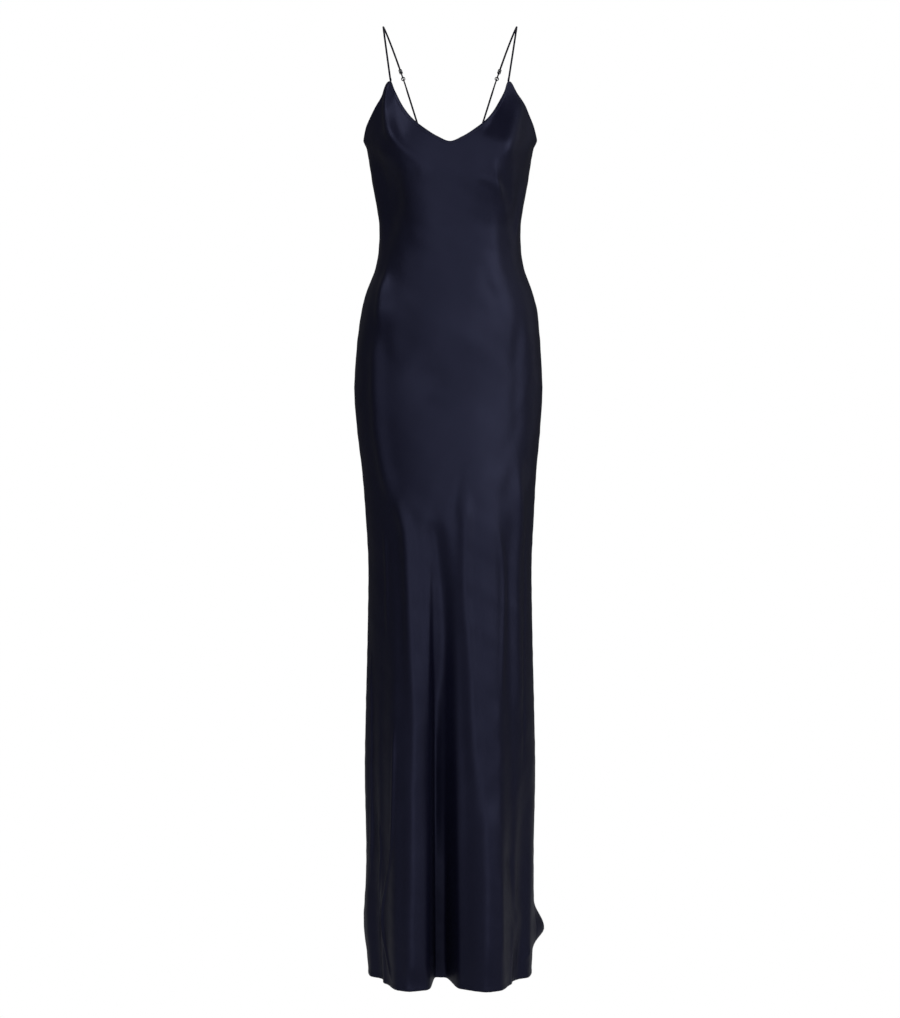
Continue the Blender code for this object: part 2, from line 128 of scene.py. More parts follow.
# Long folds, which deepen down to the hem. flat is half the width of the fold's floor or crest,
# before and after are its flanks in the order of the angles, push is the direction it moves in.
Fold = namedtuple("Fold", "name start start_angle hem_angle flat before after push out growth")
FOLDS = [
    Fold("front_main_trough", -790.0, 98.0, 97.0, 3.4, 10.0, 3.4, 90.0, -53.0, 1.45),
    Fold("front_trough_lips", -790.0, 98.0, 97.0, 2.0, 22.0, 8.0, 90.0, -27.0, 1.45),
    Fold("front_right_lobe", -700.0, 126.0, 121.0, 3.0, 14.0, 17.0, 115.0, 19.0, 1.0),
    Fold("front_left_lobe", -700.0, 64.0, 62.0, 4.0, 16.0, 14.0, 65.0, 19.0, 1.0),
    Fold("front_right_side_trough", -950.0, 157.0, 154.0, 0.0, 13.0, 14.0, 145.0, -12.0, 1.2),
    Fold("front_left_side_trough", -1100.0, 28.0, 31.0, 0.0, 15.0, 13.0, 35.0, -15.0, 1.3),
    Fold("back_right_trough", -690.0, 232.0, 226.0, 1.0, 17.0, 12.0, 232.0, -34.0, 1.3),
    Fold("back_right_lobe", -700.0, 252.0, 250.0, 2.0, 15.0, 15.0, 250.0, 10.0, 1.0),
    Fold("back_centre_trough", -880.0, 274.0, 277.0, 1.0, 12.0, 15.0, 272.0, -27.0, 1.4),
    Fold("back_left_lobe", -700.0, 296.0, 299.0, 2.0, 14.0, 14.0, 298.0, 12.0, 1.0),
    Fold("back_left_trough", -760.0, 318.0, 323.0, 1.0, 11.0, 16.0, 315.0, -30.0, 1.3),
]
FLANK_HIGH_UP = 5.0           # a fold's flank is no narrower than this where the fold begins

# Rounded swellings that belong to one place. Spreads are the distances over which they fade.
Swell = namedtuple("Swell", "name angle height angle_spread rise fall out")
SWELLS = [
    Swell("left_cup", 58.0, -212.0, 17.0, 46.0, 50.0, 17.0),
    Swell("right_cup", 122.0, -212.0, 17.0, 46.0, 50.0, 17.0),
    Swell("hem_flick", 347.0, -1476.0, 8.0, 23.0, 14.0, 23.0),
    Swell("hem_bow", 184.0, -1465.0, 10.0, 45.0, 30.0, 5.0),
]

# Top edges, by the angle from the nearer side seam.
EdgePoint = namedtuple("EdgePoint", "from_seam height")
FRONT_EDGE = [
    EdgePoint(0.0, -205.0),
    EdgePoint(5.0, -193.0),
    EdgePoint(10.2, -179.5),
    EdgePoint(16.6, -165.2),
    EdgePoint(25.3, -147.2),
    EdgePoint(33.4, -129.2),
    EdgePoint(41.0, -111.0),
    EdgePoint(STRAP_POINT_ANGLE - STRAP_POINT_HALF, STRAP_POINT_HEIGHT),
    EdgePoint(STRAP_POINT_ANGLE + STRAP_POINT_HALF, STRAP_POINT_HEIGHT),
    EdgePoint(52.7, -107.4),
    EdgePoint(59.0, -131.5),
    EdgePoint(65.6, -149.8),
    EdgePoint(73.2, -164.9),
    EdgePoint(82.1, -179.2),
    EdgePoint(90.0, -187.0),
]
BACK_EDGE = [
    EdgePoint(0.0, -205.0),
    EdgePoint(35.0, -209.0),
    EdgePoint(70.0, -211.5),
    EdgePoint(90.0, -215.0),
]

# ---- creases: soft troughs (out below 0) and ridges, along lines of (angle, height) --------------

DEGREE = 2.25                 # millimetres of cloth to a degree, for the width of a crease
DAB_SPACING = 0.6             # a crease is a row of dabs, spaced by this share of its half width
DAB_REACH = 2.6               # half widths beyond which a dab is too faint to count
LINE_STEPS = 6                # points from one knot of a crease's line to the next
FADE = 0.2                    # fades of a crease whose row gives none

# out is a crease's depth at its middle. It fades in and out over these shares of its length.
# Most rows down to left_drag_third hold numbers that a fitting program worked out. The fine lines
# (right_strip_crease, right_line_one to right_bulge, hem_curl) and all later rows are set one by
# one.
Crease = namedtuple("Crease", "name line half_width out fade_in fade_out", defaults=(FADE, FADE))
CREASES = [
    Crease("right_point_ridge", [(131.6, -92), (134.8, -128), (132.1, -156), (125.6, -184),
                                 (116.3, -212)], 9.4, 7.2, 0.02, 0.4),
    Crease("left_point_ridge", [(43.1, -127), (41.2, -132), (45.7, -152), (53.0, -186),
                                (55.8, -238)], 19.0, 8.0, 0.02, 0.4),
    Crease("right_neck_hollow", [(123.3, -126), (118.0, -159), (110.8, -182),
                                 (101.5, -198)], 7.4, -0.07),
    Crease("left_neck_hollow", [(54.3, -109), (62.6, -155), (69.2, -178)], 6.5, -2.09),
    Crease("right_cup_corner", [(123.1, -195), (113.0, -213), (107.6, -229),
                                (109.2, -251)], 9.5, 1.9),
    Crease("right_rib_corner", [(114.9, -267), (113.2, -294), (109.6, -322),
                                (109.6, -358)], 33.0, 4.72),
    Crease("right_cup_hollow", [(130.3, -209), (133.0, -268), (136.6, -311)], 22.4, -9.33),
    Crease("right_side_hollow", [(150.1, -181), (147.7, -274), (152.0, -354)], 32.6, -12.01),
    Crease("left_cup_neck", [(66.6, -188), (55.6, -186), (56.0, -213)], 12.5, 1.6),
    Crease("left_drag_ridge", [(61.9, -229), (56.2, -255), (46.5, -278)], 8.0, 1.7),
    Crease("left_drag_outer", [(63.0, -208), (61.0, -233), (56.5, -262), (51.5, -284)], 6.5, 2.2),
    Crease("left_drag_inner", [(72.0, -240), (65.5, -247), (58.0, -256), (51.5, -269)], 5.6, 2.4),
    Crease("left_cup_rise", [(45.5, -231), (39.6, -264), (34.4, -299)], 9.9, 1.04),
    Crease("left_rib_corner", [(46.5, -302), (55.4, -309), (53.9, -359), (59.4, -420)], 27.0, 3.6),
    Crease("left_side_ridge", [(22.5, -247), (20.4, -290), (23.6, -340)], 13.6, 3.02),
    Crease("waist_right_rise", [(146.6, -350), (128.7, -367), (112.2, -393)], 15.0, 0.62),
    Crease("hip_right_dip", [(142.7, -444), (133.2, -425), (124.5, -429)], 18.0, -0.86),
    Crease("hip_right_corner", [(146.1, -376), (143.2, -407), (141.2, -437),
                                (137.7, -490)], 9.6, 2.1),
    Crease("hip_right_edge", [(139.6, -484), (140.5, -539), (139.6, -602), (139.2, -674),
                              (131.2, -770)], 14.3, 5.84, 0.15, 0.2),
    Crease("hip_right_rise", [(127.4, -475), (124.7, -511), (122.9, -553)], 15.2, 1.25),
    Crease("belly_upper_swell", [(112.2, -455), (96.3, -484), (80.0, -506)], 35.6, 6.44),
    Crease("belly_lower_hollow", [(112.4, -545), (97.2, -573), (84.0, -590)], 28.5, -10.2),
    Crease("waist_left_crease", [(63.7, -381), (62.7, -413), (58.5, -434),
                                 (58.4, -466)], 11.0, -1.2),
    Crease("waist_left_swell", [(68.1, -372), (72.9, -407), (70.3, -443)], 18.0, 1.2),
    Crease("hip_left_edge", [(42.0, -463), (40.5, -507), (42.4, -578), (41.2, -659)], 14.0, -1.5),
    Crease("hip_left_flat", [(62.6, -502), (58.1, -553), (59.7, -657)], 130.4, -26.21),
    Crease("thigh_right_rise", [(140.5, -797), (139.6, -883), (137.5, -979)], 4.7, 1.81),
    Crease("right_thigh_ridge", [(129.6, -746), (121.3, -793), (118.5, -869), (116.0, -974),
                                 (111.8, -1103), (111.5, -1250), (111.4, -1396),
                                 (110.8, -1524)], 11.5, 7.4, 0.05, 0.02),
    Crease("centre_trough", [(109.2, -761), (101.7, -794), (97.4, -878), (94.9, -994),
                             (99.7, -1108), (101.6, -1243), (101.1, -1397)], 15.5, -8.6, 0.1, 0.3),
    Crease("left_thigh_ridge", [(80.7, -724), (79.7, -795), (79.9, -895), (77.3, -1007),
                                (76.0, -1138), (71.9, -1273)], 10.0, 5.4, 0.1, 0.3),
    Crease("v_fold_left", [(82.0, -695), (85.0, -738), (88.4, -784)], 6.7, -2.24),
    Crease("v_fold_right", [(121.8, -759), (110.5, -774), (99.6, -796)], 16.2, 3.0),
    Crease("left_thigh_swell", [(57.3, -786), (50.0, -872), (51.7, -979),
                                (54.5, -1089)], 5.3, 1.94),
    Crease("left_outer_ridge", [(40.8, -661), (34.4, -771), (36.1, -868), (36.8, -981),
                                (38.0, -1129)], 14.6, 4.25),
    Crease("left_far_crease", [(26.2, -778), (25.8, -921), (29.5, -1050),
                               (30.8, -1211)], 4.2, -1.63),
    Crease("right_strip_crease", [(108.0, -947), (107.0, -1040), (105.5, -1153), (104.0, -1283),
                                  (103.0, -1403), (102.5, -1534)], 5.0, -0.8, 0.2, 0.02),
    Crease("right_line_one", [(162.0, -985), (158.5, -1116), (159.5, -1248), (161.5, -1331),
                              (164.0, -1398)], 2.6, 2.5),
    Crease("right_line_two", [(147.0, -1268), (144.5, -1324), (148.5, -1392),
                              (158.0, -1455)], 2.6, 2.2),
    Crease("right_line_three", [(128.5, -1098), (128.5, -1203), (131.0, -1311), (138.0, -1379),
                                (143.5, -1434), (139.0, -1486),
                                (131.0, -1538)], 2.6, 2.7, 0.15, 0.05),
    Crease("right_bulge", [(161.0, -1248), (162.5, -1312), (165.5, -1366)], 3.6, 1.4),
    Crease("left_hem_fold_one", [(49.8, -1311), (42.4, -1384), (39.5, -1465)], 8.8, -2.85),
    Crease("left_hem_fold_two", [(32.1, -1411), (32.2, -1521),
                                 (28.3, -1558)], 10.1, 3.58, 0.2, 0.05),
    Crease("left_hem_ridge", [(58.0, -1343), (56.8, -1422), (56.7, -1500)], 5.8, 1.83),
    Crease("left_lower_ridge", [(67.3, -1228), (63.2, -1327), (64.0, -1428),
                                (66.9, -1510)], 24.3, 6.25, 0.2, 0.05),
    Crease("hem_curl", [(13.5, -1496), (22.5, -1512), (20.5, -1533), (16.5, -1544)], 4.0, 1.5),
    Crease("right_point_flank", [(140.5, -104), (137.3, -142),
                                 (135.3, -172)], 10.5, -1.45, 0.2, 0.3),
    Crease("right_point_crest", [(129.6, -118), (127.7, -152), (121.5, -192),
                                 (114.0, -206)], 6.4, 1.26, 0.1, 0.3),
    Crease("hip_right_patch", [(149.7, -406), (141.4, -424), (132.2, -441)], 16.0, 3.4, 0.3, 0.3),
    Crease("hip_right_under", [(147.8, -444), (138.2, -455), (126.8, -467)], 17.0, 3.6, 0.3, 0.3),
    Crease("left_drag_second", [(66.1, -236), (57.9, -262), (47.1, -292),
                                (38.1, -316)], 8.3, 1.63, 0.3, 0.3),
    Crease("left_drag_third", [(72.1, -232), (62.0, -250), (52.0, -264)], 8.1, -0.72, 0.3, 0.3),
    Crease("back_left_strap_pull", [(289, -222), (292, -250), (297, -285)], 6.0, -1.6, 0.1, 0.5),
    Crease("back_right_strap_pull", [(251, -222), (247, -252), (240, -290)], 7.0, -1.9, 0.1, 0.5),
    Crease("back_edge_dip", [(262, -218), (270, -224), (279, -219)], 5.0, -0.8, 0.3, 0.3),
    Crease("back_waist_fold_upper", [(232, -305), (250, -318), (272, -322),
                                     (291, -314)], 7.0, -1.7, 0.3, 0.3),
    Crease("back_waist_fold_lower", [(246, -343), (265, -352), (288, -347),
                                     (304, -336)], 8.0, -2.1, 0.3, 0.3),
    Crease("back_waist_left_pull", [(318, -330), (305, -352), (290, -382)], 9.0, -1.8, 0.3, 0.4),
    Crease("back_waist_right_pull", [(214, -340), (228, -362), (241, -396)], 8.0, -1.6, 0.3, 0.4),
    Crease("seat_left_hollow", [(300, -560), (297, -610), (292, -660)], 14.0, -2.2, 0.3, 0.3),
    Crease("seat_right_hollow", [(243, -566), (246, -620), (250, -672)], 13.0, -1.9, 0.3, 0.3),
    Crease("seat_centre_trough", [(271, -470), (270, -540), (271, -610),
                                  (273, -680)], 12.0, -2.6, 0.3, 0.3),
    Crease("back_left_thigh_ridge", [(309, -690), (306, -800), (304, -930), (303, -1100),
                                     (302, -1300), (300, -1490)], 10.0, 3.4, 0.2, 0.1),
    Crease("back_right_thigh_ridge", [(233, -705), (236, -830), (238, -960), (240, -1120),
                                      (239, -1310), (241, -1480)], 11.0, 3.8, 0.2, 0.1),
    Crease("back_middle_ridge", [(262, -760), (264, -900), (262, -1050), (263, -1230),
                                 (260, -1420)], 9.0, 2.6, 0.3, 0.2),
    Crease("back_middle_trough", [(281, -850), (284, -990), (287, -1150), (286, -1330),
                                  (289, -1520)], 8.0, -2.9, 0.3, 0.05),
    Crease("back_right_hem_fold", [(219, -1180), (217, -1290), (213, -1410),
                                   (210, -1530)], 7.5, -2.2, 0.3, 0.05),
    Crease("back_left_hem_fold", [(318, -1230), (321, -1340), (324, -1440),
                                  (322, -1530)], 8.0, 2.4, 0.3, 0.05),
    Crease("back_left_line", [(331, -980), (334, -1120), (332, -1290), (336, -1420)], 2.6, 1.2),
    Crease("back_right_line", [(205, -1060), (207, -1190), (203, -1320), (206, -1440)], 2.6, 1.1),
    Crease("left_side_pull_one", [(346, -372), (354, -398), (363, -432)], 7.0, -1.7, 0.3, 0.4),
    Crease("left_side_pull_two", [(339, -402), (349, -436), (358, -480)], 9.0, 1.9, 0.3, 0.4),
    Crease("right_side_pull_one", [(198, -366), (188, -396), (178, -428)], 7.0, -1.8, 0.3, 0.4),
    Crease("right_side_pull_two", [(203, -410), (194, -440), (184, -492)], 9.0, 1.7, 0.3, 0.4),
    Crease("left_side_fall", [(349, -700), (345, -860), (347, -1040), (343, -1220)], 10.0, -2.8),
    Crease("right_side_fall", [(190, -720), (194, -870), (191, -1050), (195, -1260)], 11.0, -3.1),
]

# Mesh lines: each band runs on to its end in a number of equal steps.
Band = namedtuple("Band", "end steps")
YOKE_BOTTOM = -240.0
EDGE_ROWS = (0.0, 0.6, 1.3, 2.6, 4.0, 5.2, 6.2, 7.6)      # below the top edge
YOKE_ROWS = 36
ROW_BANDS = [Band(-560.0, 66), Band(-1380.0, 100), Band(-1530.0, 34), Band(HEM_HEIGHT, 7)]
FRONT_COLUMN_BANDS = [
    Band(1.2, 2), Band(STRAP_POINT_ANGLE - STRAP_POINT_HALF, 40),
    Band(STRAP_POINT_ANGLE + STRAP_POINT_HALF, 1), Band(92.0, 36), Band(104.0, 16), Band(110.0, 5),
    Band(180.0 - STRAP_POINT_ANGLE - STRAP_POINT_HALF, 18),
    Band(180.0 - STRAP_POINT_ANGLE + STRAP_POINT_HALF, 1), Band(166.0, 60), Band(178.8, 10),
    Band(180.0, 2),
]
BACK_COLUMN_BANDS = [Band(181.2, 2), Band(358.8, 176), Band(360.0, 2)]


def eased(t):
    """From 0 to 1 as t does, flat at both ends."""
    return t * t * (3.0 - 2.0 * t)


def smooth_curve(places, values):
    """A smooth curve through the points of a table that never overshoots them."""
    order = np.argsort(places)
    x = np.array(places, float)[order]
    y = np.array(values, float)[order]
    rise = np.diff(y) / np.diff(x)
    slope = np.zeros(len(x))
    for i in range(1, len(x) - 1):
        if rise[i - 1] * rise[i] > 0.0:
            slope[i] = 2.0 * rise[i - 1] * rise[i] / (rise[i - 1] + rise[i])

    def curve(at):
        at = np.clip(at, x[0], x[-1])
        i = np.clip(np.searchsorted(x, at) - 1, 0, len(x) - 2)
        span = x[i + 1] - x[i]
        t = (at - x[i]) / span
        bend_in = t * (1.0 - t) ** 2 * slope[i] * span
        bend_out = t * t * (1.0 - t) * slope[i + 1] * span
        return y[i] + eased(t) * (y[i + 1] - y[i]) + bend_in - bend_out

    return curve


def section_curve(column, rows=SECTIONS):
    """One column of the sections, by height."""
    return smooth_curve([row.height for row in rows], [getattr(row, column) for row in rows])


HALF_WIDTH = section_curve("half_width")
FRONT_DEPTH = section_curve("front")
BACK_DEPTH = section_curve("back")
SQUARENESS = section_curve("square")

# The form narrows sharply under the arms. Farther in than these angles the front runs on smoothly.
ARMHOLE_ANGLE = 10.0
ARMHOLE_BLEND = 22.0
UNDER_THE_ARM = (-215.0, -183.0)
BUST_ROWS = [row for row in SECTIONS if not UNDER_THE_ARM[0] < row.height < UNDER_THE_ARM[1]]
BUST_HALF_WIDTH = section_curve("half_width", BUST_ROWS)
BUST_DEPTH = section_curve("front", BUST_ROWS)
BUST_SQUARENESS = section_curve("square", BUST_ROWS)
FRONT_TOP = smooth_curve([row.from_seam for row in FRONT_EDGE], [row.height for row in FRONT_EDGE])
BACK_TOP = smooth_curve([row.from_seam for row in BACK_EDGE], [row.height for row in BACK_EDGE])


def unit(vectors):
    return vectors / np.linalg.norm(vectors, axis=-1, keepdims=True)


def from_seam(angle):
    """Degrees from the nearer side seam."""
    return np.minimum(angle % 180.0, 180.0 - angle % 180.0)


def form_points(angle, height):
    """The plain body-round form, before cups, folds and creases."""
    turn = np.radians(angle)
    in_front = np.sin(turn) > 0.0
    depth = np.where(in_front, FRONT_DEPTH(height), BACK_DEPTH(height))
    inward = np.clip((from_seam(angle) - ARMHOLE_ANGLE) / ARMHOLE_BLEND, 0.0, 1.0)
    inward = np.where(in_front, eased(inward), 0.0)
    width = HALF_WIDTH(height)
    width = width + inward * (BUST_HALF_WIDTH(height) - width)
    depth = depth + inward * (BUST_DEPTH(height) - depth)
    square = SQUARENESS(height)
    square = square + inward * (BUST_SQUARENESS(height) - square)
    fullness = 1.0 + square * np.sin(2.0 * turn) ** 2
    return np.stack([width * np.cos(turn) * fullness,
                     -depth * np.sin(turn) * fullness, height + 0.0 * turn], axis=-1)


def form_outward(angle, height):
    """The level direction straight out of the plain form."""
    along = form_points(angle + 0.5, height) - form_points(angle - 0.5, height)
    return unit(np.cross(UP, along))


def angle_between(angle, centre):
    """Degrees from the centre to the angle, the shorter way round."""
    return (angle - centre + 180.0) % 360.0 - 180.0


def fold_depth(fold, angle, height):
    """How far one long fold moves the cloth out here."""
    down = np.maximum(0.0, (fold.start - height) / (fold.start - HEM_HEIGHT))
    off = angle_between(angle, fold.start_angle + (fold.hem_angle - fold.start_angle) * down)
    flank = np.where(off < 0.0, fold.before, fold.after)
    flank = np.maximum(flank, FLANK_HIGH_UP * (1.0 - down))
    across = np.clip((np.abs(off) - fold.flat) / flank, 0.0, 1.0)
    return fold.out * down ** fold.growth * 0.5 * (1.0 + np.cos(pi * across))


def swell_depth(swell, angle, height):
    """How far one swelling moves the cloth outward here."""
    spread = np.where(height > swell.height, swell.rise, swell.fall)
    across = angle_between(angle, swell.angle) / swell.angle_spread
    along = (height - swell.height) / spread
    return swell.out * np.exp(-0.5 * (across ** 2 + along ** 2))


def smooth_line(knots):
    """Points along a smooth line through the knots."""
    points = [knots[0]] + list(knots) + [knots[-1]]
    line = []
    for a, b, c, d in zip(points, points[1:], points[2:], points[3:]):
        a, b, c, d = (np.array(p, float) for p in (a, b, c, d))
        for i in range(LINE_STEPS):
            t = i / LINE_STEPS
            line.append(b + 0.5 * t * (c - a + t * (2 * a - 5 * b + 4 * c - d
                                                    + t * (3 * (b - c) + d - a))))
    return np.array(line + [np.array(knots[-1], float)])


def crease_strokes(crease):
    """A crease as a row of soft dabs: their angles, heights and shares of its depth."""
    line = smooth_line(crease.line)
    steps = np.diff(line, axis=0) * (DEGREE, 1.0)
    run = np.concatenate([[0.0], np.cumsum(np.hypot(steps[:, 0], steps[:, 1]))])
    count = max(2, int(np.ceil(run[-1] / (DAB_SPACING * crease.half_width))))
    share = (np.arange(count) + 0.5) / count
    at = share * run[-1]
    fade = np.clip(share / crease.fade_in, 0.0, 1.0)
    fade = eased(fade * np.clip((1.0 - share) / crease.fade_out, 0.0, 1.0))
    dab = crease.out * fade * run[-1] / count / (crease.half_width * pi ** 0.5)
    return np.interp(at, run, line[:, 0]), np.interp(at, run, line[:, 1]), dab


DABS = [(crease.half_width, dab) for crease in CREASES for dab in zip(*crease_strokes(crease))]


def add_creases(out, angle, height):
    """Add to out how far the creases move the cloth out at each place."""
    for width, (at_angle, at_height, depth) in DABS:
        across = angle_between(angle, at_angle) * (DEGREE / width)
        along = (height - at_height) / width
        near = (np.abs(across) < DAB_REACH) & (np.abs(along) < DAB_REACH)
        if near.any():
            out[near] += depth * np.exp(-across[near] ** 2 - along[near] ** 2)


def cloth_points(angle, height):
    """The outer face of the cloth, in millimetres."""
    angle, height = (np.array(a) for a in np.broadcast_arrays(angle, height))
    out = np.array(sum(swell_depth(swell, angle, height) for swell in SWELLS))
    add_creases(out, angle, height)
    points = form_points(angle, height) + form_outward(angle, height) * out[..., None]
    for fold in FOLDS:
        push = radians(fold.push)
        direction = np.array((cos(push), -sin(push), 0.0))
        points = points + direction * fold_depth(fold, angle, height)[..., None]
    return points


def band_lines(start, bands):
    """Start and every line after it, through all the bands."""
    lines = [start]
    for band in bands:
        first = lines[-1]
        lines += [first + (band.end - first) * (i + 1) / band.steps for i in range(band.steps)]
    return np.array(lines)


# ---- sizes and colours a user would change -------------------------------------------------------

def size(name, description, default, low, high):
    """A length in metres."""
    return bpy.props.FloatProperty(name=name, description=description, default=default, min=low,
                                   max=high, unit="LENGTH", precision=5)


def colour(name, description, default):
    return bpy.props.FloatVectorProperty(name=name, description=description, default=default,
                                         size=3, min=0.0, max=1.0, subtype="COLOR")


class ClothSettings(bpy.types.PropertyGroup):
    """The satin, its turned edges and its stitches."""

    thickness: size("Cloth thickness", "Thickness of one layer of satin", 0.0008, 0.0003, 0.002)
    edge_turn: size("Edge turning", "Width of the turned neck and armhole edges", 0.0048,
                    0.003, 0.01)
    hem_turn: size("Hem turning", "Height of the turned hem", 0.0075, 0.004, 0.03)
    stitch: size("Stitch length", "Length of one stitch", 0.0021, 0.001, 0.004)
    stitch_pitch: size("Stitch spacing", "From one stitch to the next", 0.0027, 0.0015, 0.006)
    thread: size("Thread radius", "Radius of the sewing thread", 0.00014, 0.0001, 0.0004)
    face: colour("Satin", "Colour of the satin's shiny face", (0.0060, 0.0060, 0.0185))
    reverse: colour("Reverse", "Colour of the satin's dull back", (0.014, 0.0155, 0.033))
    thread_colour: colour("Thread", "Colour of the sewing thread", (0.012, 0.013, 0.03))


class StrapSettings(bpy.types.PropertyGroup):
    """The rouleau straps, the sliders and the rings."""

    radius: size("Strap radius", "Radius of the rouleau", 0.0015, 0.0006, 0.003)
    pinched: size("Strap radius in metal", "Radius where the metal holds it", 0.00115,
                  0.0005, 0.003)
    wire: size("Wire radius", "Radius of the slider's and ring's wire", 0.00075, 0.0003, 0.001)
    metal: colour("Metal", "Colour of the coated metal", (0.010, 0.011, 0.020))


class StageSettings(bpy.types.PropertyGroup):
    """Floor, backdrop, lights and camera."""

    floor_height: size("Floor", "Height of the floor", -1.75, -3.0, -1.55)
    key: bpy.props.FloatProperty(name="Key light", description="Power of the key light",
                                 default=11.7, min=0.0, unit="POWER")
    fill: bpy.props.FloatProperty(name="Fill", description="Strength of the light all round",
                                  default=0.066, min=0.0, max=2.0)
    backdrop: colour("Backdrop", "Colour of floor and backdrop", (1.0, 1.0, 1.0))


class DressSettings(bpy.types.PropertyGroup):
    """All the dress's settings."""

    cloth: bpy.props.PointerProperty(type=ClothSettings)
    straps: bpy.props.PointerProperty(type=StrapSettings)
    stage: bpy.props.PointerProperty(type=StageSettings)


# ---- materials -----------------------------------------------------------------------------------

SATIN_TINT = (0.53, 0.57, 1.0, 1.0)      # the bluish gloss of face and rouleau
FLOAT_LENGTH = 0.0011                    # one float of the satin weave
FLOAT_PITCH = 0.00022                    # one float to the next, across
BIAS = (0.0, 0.0, radians(45.0))


def settings():
    return bpy.context.scene.slip_dress


def add_node(tree, kind, inputs=None, **choices):
    """A node with its choices made, and each input given a value or joined to an output."""
    node = tree.nodes.new(kind)
    for choice, value in choices.items():
        setattr(node, choice, value)
    for socket, value in (inputs or {}).items():
        if isinstance(value, bpy.types.NodeSocket):
            tree.links.new(value, node.inputs[socket])
        else:
            node.inputs[socket].default_value = value
    return node


class Shader:
    """A Principled material, with short ways to add nodes and to let a pattern vary it."""

    def __init__(self, name, colour, roughness, **values):
        self.material = bpy.data.materials.new(name)
        self.material.use_nodes = True
        self.tree = self.material.node_tree
        self.principled = self.tree.nodes["Principled BSDF"]
        self.colour = colour
        self.material.diffuse_color = (*colour, 1.0)
        self.set("Base Color", (*colour, 1.0))
        self.set("Roughness", roughness)
        for socket, value in values.items():
            self.set(socket.replace("_", " "), value)

    def set(self, socket, value):
        self.principled.inputs[socket].default_value = value

    def feed(self, socket, output):
        self.tree.links.new(output, self.principled.inputs[socket])

    def add(self, kind, inputs=None, **choices):
        return add_node(self.tree, "ShaderNode" + kind, inputs, **choices)

    def on_piece(self):
        """Places in the piece's own space."""
        return self.add("TexCoord").outputs["Object"]

    def on_cloth(self):
        """Places on the cloth's flat map, in metres."""
        return self.add("UVMap", uv_map="flat").outputs["UV"]

    def on_bias(self, flat):
        """Places on the flat map, turned to the bias."""
        return self.add("Mapping", {"Vector": flat, "Rotation": BIAS}).outputs["Vector"]

    def spread(self, pattern, low, high, least=0.0, most=1.0):
        """A pattern's values from least to most, spread from low to high."""
        node = self.add("MapRange", {"Value": pattern, "From Min": least, "From Max": most,
                                     "To Min": low, "To Max": high})
        return node.outputs["Result"]

    def tint(self, pattern, low, high, *span):
        """Let a pattern darken and lighten the colour."""
        factor = self.spread(pattern, low, high, *span)
        tone = self.add("VectorMath", {0: self.colour, "Scale": factor}, operation="SCALE")
        self.feed("Base Color", tone.outputs["Vector"])

    def raise_up(self, pattern, strength, distance):
        """Let a pattern raise the surface."""
        bump = self.add("Bump", {"Height": pattern, "Strength": strength, "Distance": distance})
        self.feed("Normal", bump.outputs["Normal"])


def satin_face(colours):
    """The shiny face: fine floats on the bias, slight unevenness in sheen."""
    satin = Shader("navy_satin", tuple(colours.face), 0.42, IOR=1.5, Specular_IOR_Level=0.68,
                   Specular_Tint=SATIN_TINT, Anisotropic=0.35, Anisotropic_Rotation=0.125,
                   Sheen_Weight=0.015, Sheen_Roughness=0.4, Sheen_Tint=(0.35, 0.38, 0.62, 1.0))
    flat = satin.on_cloth()
    bias = satin.on_bias(flat)
    floats = satin.add("TexBrick", {"Vector": bias, "Color1": (1.0, 1.0, 1.0, 1.0),
                                    "Color2": (0.82, 0.82, 0.82, 1.0),
                                    "Mortar": (0.0, 0.0, 0.0, 1.0), "Scale": 1.0,
                                    "Mortar Size": 0.00002, "Mortar Smooth": 1.0,
                                    "Brick Width": FLOAT_LENGTH, "Row Height": FLOAT_PITCH},
                       offset=0.37, offset_frequency=2)
    slub = satin.add("TexNoise", {"Vector": bias, "Scale": 340.0, "Detail": 3.0,
                                  "Roughness": 0.6})
    weave = satin.add("MixRGB", {"Fac": 0.35, "Color1": floats.outputs["Color"],
                                 "Color2": slub.outputs["Fac"]})
    satin.raise_up(weave.outputs["Color"], 0.22, 0.00006)
    tangent = satin.add("Tangent", direction_type="UV_MAP", uv_map="flat")
    satin.feed("Tangent", tangent.outputs["Tangent"])
    patches = satin.add("TexNoise", {"Vector": flat, "Scale": 16.0, "Detail": 2.0})
    satin.feed("Roughness", satin.spread(patches.outputs["Fac"], 0.395, 0.445, 0.3, 0.7))
    streaks = satin.add("Mapping", {"Vector": bias, "Scale": (60.0, 900.0, 1.0)})
    yarns = satin.add("TexNoise", {"Vector": streaks.outputs["Vector"], "Scale": 1.0,
                                   "Detail": 1.0})
    satin.tint(yarns.outputs["Fac"], 0.93, 1.07, 0.25, 0.75)
    return satin.material


def satin_reverse(colours):
    """The dull, crepe-like back of the satin."""
    reverse = Shader("navy_satin_reverse", tuple(colours.reverse), 0.72, Specular_IOR_Level=0.3)
    grain = reverse.add("TexNoise", {"Vector": reverse.on_cloth(), "Scale": 1500.0,
                                     "Detail": 2.0})
    reverse.raise_up(grain.outputs["Fac"], 0.35, 0.0001)
    reverse.tint(grain.outputs["Fac"], 0.85, 1.15)
    return reverse.material


def rouleau_satin(colours):
    """Satin turned into a narrow tube: its floats wind round the strap."""
    rouleau = Shader("navy_rouleau", tuple(0.8 * c for c in colours.face), 0.6,
                     Specular_IOR_Level=0.3, Specular_Tint=SATIN_TINT)
    floats = rouleau.add("TexWave", {"Vector": rouleau.on_bias(rouleau.on_cloth()),
                                     "Scale": 700.0, "Distortion": 1.5, "Detail": 1.0})
    rouleau.raise_up(floats.outputs["Fac"], 0.3, 0.00006)
    rouleau.tint(floats.outputs["Fac"], 0.9, 1.1)
    return rouleau.material


